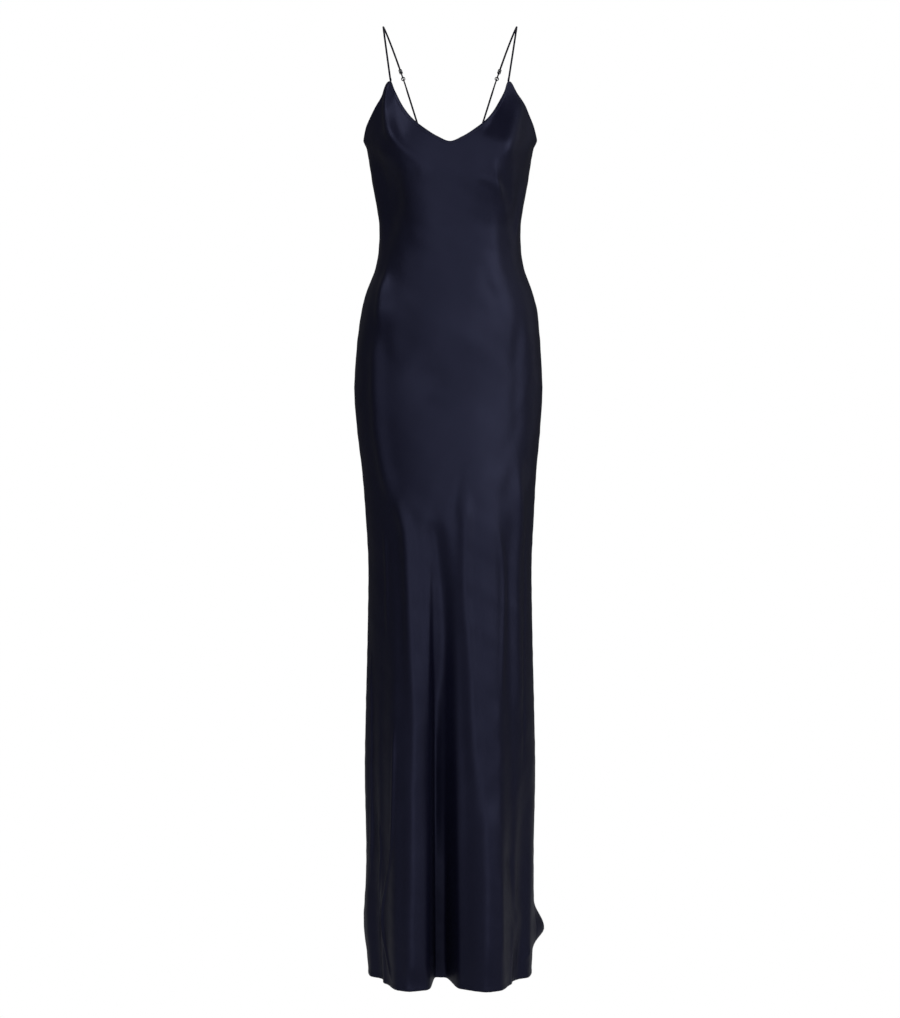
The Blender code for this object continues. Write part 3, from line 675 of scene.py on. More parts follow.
def sewing_thread(colours):
    """Polyester thread, two plies twisted."""
    thread = Shader("navy_thread", tuple(colours.thread_colour), 0.5)
    twist = thread.add("TexWave", {"Vector": thread.on_piece(), "Scale": 1600.0})
    thread.raise_up(twist.outputs["Fac"], 0.3, 0.00005)
    thread.tint(twist.outputs["Fac"], 0.8, 1.2)
    return thread.material


def coated_metal(colours):
    """Wire under a dark, half-matt coat, with fine handling marks."""
    metal = Shader("dark_coated_metal", tuple(colours.metal), 0.6, Specular_IOR_Level=0.25)
    marks = metal.add("TexNoise", {"Vector": metal.on_piece(), "Scale": 900.0, "Detail": 4.0})
    metal.feed("Roughness", metal.spread(marks.outputs["Fac"], 0.5, 0.68))
    metal.raise_up(marks.outputs["Fac"], 0.15, 0.00003)
    metal.tint(marks.outputs["Fac"], 0.85, 1.2)
    return metal.material


# Each material's maker, and the group of settings that holds its colour.
FINISHES = {
    "navy_satin": (satin_face, "cloth"),
    "navy_satin_reverse": (satin_reverse, "cloth"),
    "navy_rouleau": (rouleau_satin, "cloth"),
    "navy_thread": (sewing_thread, "cloth"),
    "dark_coated_metal": (coated_metal, "straps"),
}


def finish(name):
    """The material of this name, made the first time that a piece asks for it."""
    make, group = FINISHES[name]
    return bpy.data.materials.get(name) or make(getattr(settings(), group))


# ---- mesh helpers --------------------------------------------------------------------------------

def grid_mesh(name, points, uv, wrap=False, close=False):
    """A mesh through a grid of points (metres), rows by columns, and its UV map.

    wrap joins the last column to the first and closes the ends, or joins the last row to the first
    if close is set. The UV map has one more column, and one more row, where the mesh joins itself.
    """
    rows, columns = points.shape[:2]
    index = np.arange(rows * columns).reshape(rows, columns)
    if wrap:
        index = np.concatenate([index, index[:, :1]], axis=1)
    if close:
        index = np.concatenate([index, index[:1]], axis=0)
    faces = corners(index).reshape(-1, 4).tolist()
    flat = corners(uv).reshape(-1, 2)
    if wrap and not close:
        faces += [index[0, :columns][::-1].tolist(), index[-1, :columns].tolist()]
        flat = np.concatenate([flat, uv[0, :columns][::-1], uv[-1, :columns]])
    data = bpy.data.meshes.new(name)
    data.from_pydata(points.reshape(-1, 3).tolist(), [], faces)
    data.uv_layers.new(name="flat").data.foreach_set("uv", flat.astype(np.float32).ravel())
    data.shade_smooth()
    return data


def corners(grid):
    """The four corners of each face of a grid."""
    return np.stack([grid[:-1, :-1], grid[:-1, 1:], grid[1:, 1:], grid[1:, :-1]], axis=2)


def new_piece(name, data, *materials):
    """An object of this mesh in the scene, with its materials in order."""
    for material in materials:
        data.materials.append(material)
    piece = bpy.data.objects.new(name, data)
    bpy.context.scene.collection.objects.link(piece)
    return piece


def on_the_dress(piece, slot, *nodes):
    """Ride on the dress, and stand for the solid's nodes, which are hidden. slot is not used."""
    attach(piece, "root")
    if nodes:
        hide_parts(*nodes)


# ---- front and back ------------------------------------------------------------------------------

SEAM_SINK = 0.55              # how far the cloth dips into the side seams
SEAM_SPREAD = 1.5             # over how many degrees
SEAM_PUCKER = 0.35            # how far it puckers there
PUCKER_SPREAD = 3.75
SEAM_CALM = 9.0               # within about this many degrees of a seam, the cloth has less slack
HEM_RIDGE = 0.32              # how far the turned hem stands out
HEM_RIDGE_EDGE = 2.2          # how sharply it ends at the top, for each millimetre
HEM_ROPING = 0.22             # slanting ripples of a narrow hem on the bias
HEM_GROOVE = 0.18             # the groove that the hem's stitches press into the cloth
HEM_GROOVE_SPREAD = 1.1
SLACK = 0.55                  # soft unevenness of satin that hangs on the bias


def slack_depth(angle, height):
    """Shallow, irregular hollows and swells all over the cloth.

    The waves' lengths and phases have no other meaning than that their sum seldom repeats.
    """
    along = angle * DEGREE + 40.0 * np.sin(height * 0.011 + 0.6)
    wide = np.sin(along * 0.062 + 1.9 * np.sin(height * 0.017)) * np.sin(height * 0.041 + 0.7)
    fine = np.sin(along * 0.141 - height * 0.055) * np.sin(height * 0.089 + along * 0.037)
    return SLACK * (wide + 0.4 * fine)


def finishing_depth(angle, height):
    """Seam, hem and slack, on top of the creases."""
    off_seam = angle_between(2.0 * angle, 0.0) * 0.5
    pucker = np.sin(height * 0.21) * np.sin(height * 0.037 + 1.0)
    out = -SEAM_SINK * np.exp(-(off_seam / SEAM_SPREAD) ** 2)
    out = out + SEAM_PUCKER * pucker * np.exp(-(off_seam / PUCKER_SPREAD) ** 2)
    above_hem = height - HEM_HEIGHT
    above_turn = above_hem - settings().cloth.hem_turn / MM
    ridge = 1.0 / (1.0 + np.exp(above_turn * HEM_RIDGE_EDGE))
    roping = np.sin((angle * DEGREE + above_hem) * 0.75) * np.sin(angle * 0.31 + 0.4)
    out = out + ridge * (HEM_RIDGE + HEM_ROPING * roping)
    out = out - HEM_GROOVE * np.exp(-(above_turn / HEM_GROOVE_SPREAD) ** 2)
    return out + slack_depth(angle, height) * (1.0 - np.exp(-(off_seam / SEAM_CALM) ** 2))


def finished_face(angle, height):
    """The outer face of the finished cloth, in millimetres."""
    out = finishing_depth(angle, height)
    return cloth_points(angle, height) + form_outward(angle, height) * out[..., None]


def panel_grid(first_angle, column_bands, top_edge):
    """Angles and heights of the panel's points, rows by columns."""
    angles = band_lines(first_angle, column_bands)
    top = top_edge(from_seam(angles))
    edge = top[None, :] - np.array(EDGE_ROWS)[:, None]
    share = (np.arange(1, YOKE_ROWS + 1) / YOKE_ROWS)[:, None]
    yoke = edge[-1] + (YOKE_BOTTOM - edge[-1]) * share
    levels = band_lines(YOKE_BOTTOM, ROW_BANDS)[1:]
    body = np.repeat(levels[:, None], len(angles), axis=1)
    heights = np.concatenate([edge, yoke, body])
    return np.repeat(angles[None, :], len(heights), axis=0), heights


def flat_map(points):
    """Where each point lies on the flat cloth: across from the panel's middle, and up."""
    steps = np.linalg.norm(np.diff(points, axis=1), axis=-1)
    across = np.concatenate([np.zeros((len(points), 1)), np.cumsum(steps, axis=1)], axis=1)
    across = across - across[:, -1:] * 0.5
    return np.stack([across, points[..., 2]], axis=-1)


def make_panel(name, node, first_angle, column_bands, top_edge):
    """One panel of satin: shiny face outside, dull face inside."""
    points = finished_face(*panel_grid(first_angle, column_bands, top_edge)) * MM
    data = grid_mesh(name, points, flat_map(points))
    piece = new_piece(name, data, finish("navy_satin"), finish("navy_satin_reverse"))
    wall = piece.modifiers.new("cloth", "SOLIDIFY")
    wall.thickness = settings().cloth.thickness
    wall.offset = -1.0
    wall.use_even_offset = True
    wall.material_offset = 1
    on_the_dress(piece, "satin", node)


class DRESS_OT_front(bpy.types.Operator):
    """Make the front of the dress"""

    bl_idname = "dress.front"
    bl_label = "Front"

    def execute(self, context):
        make_panel("front_satin", "front_panel", 0.0, FRONT_COLUMN_BANDS, FRONT_TOP)
        return {"FINISHED"}


class DRESS_OT_back(bpy.types.Operator):
    """Make the back of the dress"""

    bl_idname = "dress.back"
    bl_label = "Back"

    def execute(self, context):
        make_panel("back_satin", "back_panel", 180.0, BACK_COLUMN_BANDS, BACK_TOP)
        return {"FINISHED"}


# ---- turned edges --------------------------------------------------------------------------------

# A turned edge, all round its section: the share of its width in from the edge, and how far out
# from the cloth's face.
Around = namedtuple("Around", "inward out")
TURNED_EDGE = [
    Around(1.00, -0.10), Around(0.97, 0.16), Around(0.86, 0.28), Around(0.60, 0.33),
    Around(0.30, 0.31), Around(0.10, 0.22), Around(0.00, 0.02), Around(-0.06, -0.45),
    Around(0.00, -0.92), Around(0.12, -1.16), Around(0.45, -1.30), Around(0.80, -1.28),
    Around(0.96, -1.12), Around(1.00, -0.70),
]
TURNED_HEM = [
    Around(0.98, -0.72), Around(1.00, -1.10), Around(0.95, -1.36), Around(0.65, -1.48),
    Around(0.25, -1.44), Around(0.05, -1.24), Around(-0.03, -0.90), Around(-0.04, -0.50),
    Around(0.00, -0.25), Around(0.05, -0.60), Around(0.50, -0.70),
]
MITRE_START = 1.3             # half the flat top of a strap point, where two turned edges meet
MITRE_GROWTH = 0.6            # how fast each of them widens from there
EDGE_STEP = 1.4               # spacing of the rings of points along a turned edge
EDGE_SAMPLES = 700            # places at which its length is measured
NUDGE = 0.05                  # degrees, and millimetres of height, to find how the cloth slopes

# A turned edge by its angles, with the curve of its height and the ends at which it is mitred.
Edge = namedtuple("Edge", "name first last top_edge mitres")
FRONT_EDGES = [
    Edge("left_armhole_turning", 0.0, STRAP_POINT_ANGLE - STRAP_POINT_HALF, FRONT_TOP, "end"),
    Edge("neck_turning", STRAP_POINT_ANGLE + STRAP_POINT_HALF,
         180.0 - STRAP_POINT_ANGLE - STRAP_POINT_HALF, FRONT_TOP, "both"),
    Edge("right_armhole_turning", 180.0 - STRAP_POINT_ANGLE + STRAP_POINT_HALF, 180.0, FRONT_TOP,
         "start"),
]
BACK_EDGES = [Edge("back_edge_turning", 180.0, 360.0, BACK_TOP, "")]


def hem_line(off_seam):
    """The hem's height, which is the same all round."""
    return HEM_HEIGHT + 0.0 * off_seam


FRONT_HEM = Edge("front_hem_turning", 0.0, 180.0, hem_line, "")
BACK_HEM = Edge("back_hem_turning", 180.0, 360.0, hem_line, "")


def lengths_along(points):
    """How far each point is from the first, along the line."""
    return np.concatenate([[0.0], np.cumsum(np.linalg.norm(np.diff(points, axis=0), axis=1))])


def edge_angles(edge):
    """Angles an even distance apart along an edge of the cloth."""
    angles = np.linspace(edge.first, edge.last, EDGE_SAMPLES)
    run = lengths_along(cloth_points(angles, edge.top_edge(from_seam(angles))))
    return np.interp(np.linspace(0.0, run[-1], int(run[-1] / EDGE_STEP) + 1), run, angles)


def band_along(edge, width, section):
    """Points along an edge of the cloth and round a section, and the run along the edge."""
    angle = edge_angles(edge)
    height = edge.top_edge(from_seam(angle))
    here, after, before, above, below = finished_face(
        angle + NUDGE * np.array([[0], [1], [-1], [0], [0]]),
        height + NUDGE * np.array([[0], [0], [0], [1], [-1]]))
    by_degree = (after - before) / (2.0 * NUDGE)
    by_height = (above - below) / (2.0 * NUDGE)
    outward = unit(np.cross(by_height, by_degree))
    into = np.cross(outward, unit(np.gradient(here, axis=0)))
    if edge.top_edge is hem_line:
        into = -into
    degree_degree, height_height, degree_height, into_degree, into_height = (
        (u * v).sum(-1) for u, v in ((by_degree, by_degree), (by_height, by_height),
                                     (by_degree, by_height), (into, by_degree), (into, by_height)))
    area = degree_degree * height_height - degree_height * degree_height
    turn = (into_degree * height_height - into_height * degree_height) / area
    rise = (into_height * degree_degree - into_degree * degree_height) / area
    run = lengths_along(here)
    reach = np.full(len(run), width)
    if edge.mitres in ("start", "both"):
        reach = np.minimum(reach, MITRE_START + MITRE_GROWTH * run)
    if edge.mitres in ("end", "both"):
        reach = np.minimum(reach, MITRE_START + MITRE_GROWTH * (run[-1] - run))
    inward, out = (np.array(column)[None, :] for column in zip(*section))
    across = reach[:, None] * inward
    points = finished_face(angle[:, None] + turn[:, None] * across,
                           height[:, None] + rise[:, None] * across)
    return points + outward[:, None] * out[..., None], run


def make_turning(edge, width, section):
    """A narrow edge turned to the inside: a closed band round the cloth's raw edge."""
    points, run = band_along(edge, width, section)
    middle = points[len(run) // 2]
    around = lengths_along(np.concatenate([middle, middle[:1]]))
    flat = np.stack(np.meshgrid(around, run), axis=-1) * MM
    data = grid_mesh(edge.name, points * MM, flat, wrap=True)
    on_the_dress(new_piece(edge.name, data, finish("navy_satin")), "satin")


class DRESS_OT_turned_edges(bpy.types.Operator):
    """Turn in the neck, the armholes, the back's top edge and the hem"""

    bl_idname = "dress.turned_edges"
    bl_label = "Turned edges"

    def execute(self, context):
        cloth = settings().cloth
        for edge in FRONT_EDGES + BACK_EDGES:
            make_turning(edge, cloth.edge_turn / MM, TURNED_EDGE)
        for edge in (FRONT_HEM, BACK_HEM):
            make_turning(edge, cloth.hem_turn / MM, TURNED_HEM)
        return {"FINISHED"}


# ---- straps --------------------------------------------------------------------------------------

SIDES = (("left", 1), ("right", -1))

DROP_STEP = 0.05              # steps in which the arch over the shoulder is measured
U_TURN_KNOTS = 13             # knots of half a turn round a wire
BETWEEN_METAL = (2.0, 6.0)    # knots between slider and ring, below the slider
BACK_STRAP_BOW = 5.0          # how far the back strap bows back on its way down
BACK_STRAP_ABOVE = 0.75       # where it passes over the back edge
SEAT_SEARCH = np.arange(5.0, 40.0, 0.1)      # where it can be sewn on, from the back's centre

ROULEAU_SIDES = 14
ROULEAU_STEP = 1.1            # spacing of a rouleau's rings of points
ROULEAU_UNEVENNESS = 0.025    # of its radius
ROULEAU_SEAM = 0.12           # how far its seam stands out, as a share of its radius
ROULEAU_SEAM_ARC = 0.45       # half the seam's width, in radians round the tube

WRAP_TURNS = 4                # turns of thread round the back strap's fold
WRAP_POINTS = 20              # points in a turn
WRAP_PLACE = 0.72             # where they begin, as a share of the fold's length
WRAP_PITCH = 0.34
WRAP_SIDES = 6


def arch_reach(drop, arch):
    """How far out from the shoulder's top a strap lies once it has dropped this far."""
    reach, depth = arch
    left = max(0.0, 1.0 - max(0.0, drop) / depth)
    return reach * (1.0 - left ** SHOULDER_ROUNDING) ** (1.0 / SHOULDER_ROUNDING)


def drops_evenly(arch, last_drop):
    """Drops from the top of the arch to the last one, with knots a strap step apart."""
    drops = [0.0]
    drop = 0.0
    travelled = 0.0
    while drop < last_drop:
        out = arch_reach(drop + DROP_STEP, arch) - arch_reach(drop, arch)
        travelled += (out * out + DROP_STEP * DROP_STEP) ** 0.5
        drop += DROP_STEP
        if travelled >= STRAP_STEP and last_drop - drop > 0.5 * STRAP_STEP:
            drops.append(drop)
            travelled = 0.0
    return drops + [last_drop]


def behind_the_edge(angle, top, depth_below):
    """A point of a strap where it is sewn on, this far below the edge."""
    height = np.array(top - depth_below)
    angle = np.array(angle)
    return finished_face(angle, height) - form_outward(angle, height) * STRAP_BEHIND


class Strap:
    """The route of one shoulder strap and its back strap. side is 1 on the left, -1 on the right.

    Its points are worked out on the left, and crossed over on the right.
    """

    def __init__(self, side):
        self.side = side
        self.over = np.array((side, 1.0, 1.0))
        self.front_angle = STRAP_POINT_ANGLE if side > 0 else 180.0 - STRAP_POINT_ANGLE
        self.tip = behind_the_edge(self.front_angle, STRAP_POINT_HEIGHT, 0.0) * self.over
        self.radius = settings().straps.radius / MM
        self.pinched = settings().straps.pinched / MM
        self.start = self.back_point(SLIDER_DROP)
        self.down = unit(self.back_point(SLIDER_DROP + 1.0) - self.start)
        back = np.array((0.0, 1.0, 0.0))
        self.out = unit(back - self.down * (back @ self.down))
        self.across = np.cross(self.down, self.out)
        self.to_metal = METAL_RADIUS + PIECE_GAP + STRAP_PINCHED

    def at(self, along, outward, sideways=0.0):
        """A point by its distance down from the slider, out from the long run, and sideways."""
        return self.start + self.down * along + self.out * outward + self.across * sideways

    def front_point(self, drop):
        """A point of the front run, this far below the shoulder's top."""
        share = drop / (STRAP_RADIUS - STRAP_POINT_HEIGHT)
        reach = -self.tip[1] / arch_reach(STRAP_RADIUS - STRAP_POINT_HEIGHT, FRONT_ARCH)
        return np.array((STRAP_TOP_X + (self.tip[0] - STRAP_TOP_X) * share,
                         -arch_reach(drop, FRONT_ARCH) * reach, STRAP_RADIUS - drop))

    @staticmethod
    def back_point(drop):
        """A point of the back run, this far below the shoulder's top."""
        share = (drop / SLIDER_DROP) ** STRAP_EASE
        return np.array((STRAP_TOP_X + (SLIDER_X - STRAP_TOP_X) * share,
                         arch_reach(drop, BACK_ARCH), STRAP_RADIUS - drop))

    def u_turn(self, wire_along, turn_way):
        """Half a turn of strap round a wire, from its outer side to its inner side."""
        turns = np.linspace(0.0, pi, U_TURN_KNOTS)
        return [(self.at(wire_along + turn_way * self.to_metal * sin(turn),
                         -self.to_metal + self.to_metal * cos(turn)), self.pinched)
                for turn in turns]

    def long_route(self):
        """Strap point, shoulder, slider, round the ring, and back up to the slider's centre bar."""
        sewn = [behind_the_edge(self.front_angle, STRAP_POINT_HEIGHT, below) * self.over
                for below in (STRAP_SEWN, 0.6 * STRAP_SEWN, 0.2 * STRAP_SEWN)]
        front_drops = drops_evenly(FRONT_ARCH, STRAP_RADIUS - STRAP_POINT_HEIGHT)
        back_drops = drops_evenly(BACK_ARCH, SLIDER_DROP - 2.0 * SLIDER_HALF_HEIGHT)
        route = [(point, self.pinched) for point in sewn]
        route += [(self.front_point(drop), self.radius) for drop in reversed(front_drops)]
        route += [(self.back_point(drop), self.radius) for drop in back_drops[1:]]
        route += [(self.at(along, 0.0), self.pinched)
                  for along in (-SLIDER_HALF_HEIGHT, *BETWEEN_METAL)]
        route += self.u_turn(RING_BELOW_SLIDER - RING_RADIUS, 1.0)
        inner = -2.0 * self.to_metal
        return route + [(self.at(along, inner), self.pinched)
                        for along in (*reversed(BETWEEN_METAL), -STRAP_END_ABOVE_BAR)]

    def seat(self):
        """Angle of the back's top edge where the back strap is sewn on."""
        angles = 270.0 + self.side * SEAT_SEARCH
        places = cloth_points(angles, BACK_TOP(from_seam(angles)))
        return float(angles[np.argmax(np.abs(places[:, 0]) >= BACK_EDGE_X)])

    def back_route(self):
        """From the sewn fold, round the ring's lower wire, and down behind the back's top edge."""
        ring_bottom = RING_BELOW_SLIDER + RING_RADIUS
        inner = -2.0 * self.to_metal
        route = [(self.at(ring_bottom + BACK_STRAP_FOLD, inner), self.pinched)]
        route += list(reversed(self.u_turn(ring_bottom, -1.0)))
        leave = self.at(ring_bottom + BACK_STRAP_FOLD, 0.0)
        angle = self.seat()
        top = BACK_TOP(from_seam(angle))
        seat = behind_the_edge(angle, top, -BACK_STRAP_ABOVE) * self.over
        middle = (leave + seat) * 0.5 + np.array((0.0, BACK_STRAP_BOW, 0.0))
        count = round(float(np.linalg.norm(seat - leave)) / (2.0 * STRAP_STEP))
        for i in range(count + 1):
            t = i / count
            point = leave * (1.0 - t) ** 2 + middle * (2.0 * t * (1.0 - t)) + seat * t * t
            route.append((point, self.radius if i else self.pinched))
        return route + [(behind_the_edge(angle, top, below) * self.over, self.pinched)
                        for below in (0.3 * STRAP_SEWN, STRAP_SEWN)]


def smooth_route(route, spacing):
    """Evenly spaced points and radii along a smooth line through (point, radius) pairs."""
    knots = np.array([(*point, radius) for point, radius in route])
    run = lengths_along(knots[:, :3])
    gap = np.diff(run)[:, None]
    rise = np.diff(knots, axis=0) / gap
    between = (rise[:-1] * gap[1:] + rise[1:] * gap[:-1]) / (gap[1:] + gap[:-1])
    slope = np.concatenate([rise[:1], between, rise[-1:]])
    at = np.linspace(0.0, run[-1], int(run[-1] / spacing) + 2)
    i = np.clip(np.searchsorted(run, at) - 1, 0, len(gap) - 1)
    t = (at - run[i])[:, None] / gap[i]
    line = (knots[i] * (1.0 + 2.0 * t) * (1.0 - t) ** 2 + slope[i] * gap[i] * t * (1.0 - t) ** 2
            + knots[i + 1] * t * t * (3.0 - 2.0 * t) - slope[i + 1] * gap[i] * t * t * (1.0 - t))
    return line[:, :3], line[:, 3]


def tube_frames(centre, first_side):
    """Two directions across a line at each of its points, turned as little as can be.

    The first points as nearly to first_side as it can at the line's start.
    """
    along = unit(np.gradient(centre, axis=0))
    sides = []
    side = np.array(first_side, float)
    for way in along:
        side = side - way * (side @ way)
        side = side / np.linalg.norm(side)
        sides.append(side)
    sides = np.array(sides)
    return sides, np.cross(along, sides)


def tube_mesh(name, centre, radius, sides, ups, count, close=False, seam=0.0):
    """A tube round a line of centres, in millimetres, with a raised seam on one side."""
    turn = 2.0 * pi * np.arange(count + 1) / count
    ridge = np.exp(-((turn[None, :-1] - pi) / ROULEAU_SEAM_ARC) ** 2)
    reach = radius[:, None] * (1.0 + seam * ridge)
    points = (centre[:, None] + (reach * np.cos(turn[:-1]))[..., None] * sides[:, None]
              + (reach * np.sin(turn[:-1]))[..., None] * ups[:, None])
    run = lengths_along(np.concatenate([centre, centre[:1]]) if close else centre)
    flat = np.stack(np.meshgrid(turn * float(radius.mean()), run), axis=-1)
    return grid_mesh(name, points * MM, flat * MM, wrap=True, close=close)


def make_rouleau(name, node, route, side):
    """A rouleau: a narrow satin tube with its seam on the inside, pressed where metal holds it."""
    centre, radius = smooth_route(route, ROULEAU_STEP)
    run = lengths_along(centre)
    uneven = np.sin(0.83 * run) * np.sin(0.29 * run + 1.3)
    radius = radius * (1.0 + ROULEAU_UNEVENNESS * uneven)
    sides, ups = tube_frames(centre, (0.0, -1.0, 0.0))
    data = tube_mesh(name, centre, radius, sides, ups, ROULEAU_SIDES, seam=ROULEAU_SEAM)
    finish_side(new_piece(name, data, finish("navy_rouleau")), side, "rouleau", node)


def finish_side(piece, side, slot, *nodes):
    """Cross a piece over to the right side if it belongs there, its faces still outward."""
    if side < 0:
        shape = bmesh.new()
        shape.from_mesh(piece.data)
        bmesh.ops.transform(shape, matrix=Matrix.Diagonal((-1.0, 1.0, 1.0, 1.0)), verts=shape.verts)
        bmesh.ops.reverse_faces(shape, faces=shape.faces)
        shape.to_mesh(piece.data)
        shape.free()
    on_the_dress(piece, slot, *nodes)


class DRESS_OT_straps(bpy.types.Operator):
    """Make the two shoulder straps and the two back straps"""

    bl_idname = "dress.straps"
    bl_label = "Straps"

    def execute(self, context):
        for word, side in SIDES:
            strap = Strap(side)
            make_rouleau(word + "_rouleau", "strap_" + word, strap.long_route(), side)
            make_rouleau(word + "_back_rouleau", "back_strap_" + word, strap.back_route(), side)
            self.thread_wraps(word + "_fold_wraps", strap)
        return {"FINISHED"}

    @staticmethod
    def thread_wraps(name, strap):
        """Turns of thread that hold the back strap's fold together below the ring."""
        turn = np.linspace(0.0, 2.0 * pi * WRAP_TURNS, WRAP_POINTS * WRAP_TURNS + 1)
        start = RING_BELOW_SLIDER + RING_RADIUS + WRAP_PLACE * BACK_STRAP_FOLD
        along = start + WRAP_PITCH * turn / (2.0 * pi)
        thread = settings().cloth.thread / MM
        reach = strap.pinched + thread
        centre = np.array([strap.at(a, -strap.to_metal + (strap.to_metal + reach) * cos(t),
                                    reach * sin(t)) for a, t in zip(along, turn)])
        sides, ups = tube_frames(centre, strap.down)
        data = tube_mesh(name, centre, np.full(len(centre), thread), sides, ups, WRAP_SIDES)
        finish_side(new_piece(name, data, finish("navy_thread")), strap.side, "rouleau")


# ---- sliders and rings ---------------------------------------------------------------------------

WIRE_SIDES = 16
CORNER_POINTS = 9             # points round a corner of the slider
RING_POINTS = 64
BAR_STEP = 0.25               # spacing of the centre bar's rings of points

# Half of a slider's centre bar: how far in from the side bar, and how far behind the strap's long
# run, as a share of the distance from the strap's centre to the metal's.
BarKnot = namedtuple("BarKnot", "inset depth")
HALF_BAR = [BarKnot(0.0, 0.0), BarKnot(0.35, 0.8), BarKnot(1.0, 1.0)]


def slider_outline(strap):
    """Round the slider's outer wire, its end bars bowed behind the strap."""
    outline = []
    for across, up in ((1, 1), (-1, 1), (-1, -1), (1, -1)):
        begin = atan2(up, across) - pi / 4.0
        for turn in np.linspace(begin, begin + 0.5 * pi, CORNER_POINTS):
            sideways = across * (SLIDER_HALF_WIDTH - SLIDER_CORNER) + SLIDER_CORNER * cos(turn)
            along = up * (SLIDER_HALF_HEIGHT - SLIDER_CORNER) + SLIDER_CORNER * sin(turn)
            bowed = max(0.0, 1.0 - (SLIDER_HALF_HEIGHT - abs(along)) / SLIDER_CORNER)
            outline.append(strap.at(along, SLIDER_END_BARS_BACK * eased(bowed), sideways))
    return np.array(outline)


def centre_bar(strap):
    """Across the slider, behind the strap's long run."""
    halves = ((-1.0, HALF_BAR), (1.0, reversed(HALF_BAR)))
    return [strap.at(0.0, -knot.depth * strap.to_metal, side * (SLIDER_HALF_WIDTH - knot.inset))
            for side, half in halves for knot in half]


def wire_loop(name, centre, out):
    """A closed loop of wire. out is roughly square to it."""
    ways = unit(np.roll(centre, -1, axis=0) - np.roll(centre, 1, axis=0))
    ups = unit(out - ways * (ways @ out)[:, None])
    radius = np.full(len(centre), settings().straps.wire / MM)
    return tube_mesh(name, centre, radius, np.cross(ups, ways), ups, WIRE_SIDES, close=True)


class DRESS_OT_metal(bpy.types.Operator):
    """Make the two sliders and the two rings"""

    bl_idname = "dress.metal"
    bl_label = "Sliders and rings"

    def execute(self, context):
        for word, side in SIDES:
            strap = Strap(side)
            self.slider(word, strap)
            self.ring(word, strap)
        return {"FINISHED"}

    @staticmethod
    def slider(word, strap):
        """A slide of two bowed end bars and a centre bar, which the strap weaves through."""
        wire = settings().straps.wire / MM
        data = wire_loop(word + "_slider", slider_outline(strap), strap.out)
        centre, radius = smooth_route([(point, wire) for point in centre_bar(strap)], BAR_STEP)
        sides, ups = tube_frames(centre, strap.down)
        bar = tube_mesh(word + "_bar", centre, radius, sides, ups, WIRE_SIDES)
        shape = bmesh.new()
        shape.from_mesh(data)
        shape.from_mesh(bar)
        shape.to_mesh(data)
        shape.free()
        bpy.data.meshes.remove(bar)
        piece = new_piece(word + "_slide", data, finish("dark_coated_metal"))
        finish_side(piece, strap.side, "strap_metal", "slider_" + word)

    @staticmethod
    def ring(word, strap):
        """A plain wire ring lying in the plane of the strap."""
        turns = 2.0 * pi * np.arange(RING_POINTS) / RING_POINTS
        centre = np.array([strap.at(RING_BELOW_SLIDER + RING_RADIUS * sin(turn), -strap.to_metal,
                                    RING_RADIUS * cos(turn)) for turn in turns])
        data = wire_loop(word + "_loop", centre, strap.out)
        piece = new_piece(word + "_loop", data, finish("dark_coated_metal"))
        finish_side(piece, strap.side, "strap_metal", "ring_" + word)


# ---- stitches ------------------------------------------------------------------------------------

STITCH_SEED = 7
STITCH_UNEVENNESS = 0.07             # radians by which a stitch leans at most
EDGE_STITCH = Around(0.80, 0.30)     # where the stitches lie on a turned edge
HEM_STITCH = Around(0.90, 0.05)
TACK_HALF = 0.55                     # degrees to each side of a strap's middle
TACK_DEPTHS = (2.2, 4.4, 6.4)        # rows of stitches that hold a strap, below the edge
TACK_POINTS = 9
TACK_OUT = 0.36                      # how far they stand out from the cloth's face


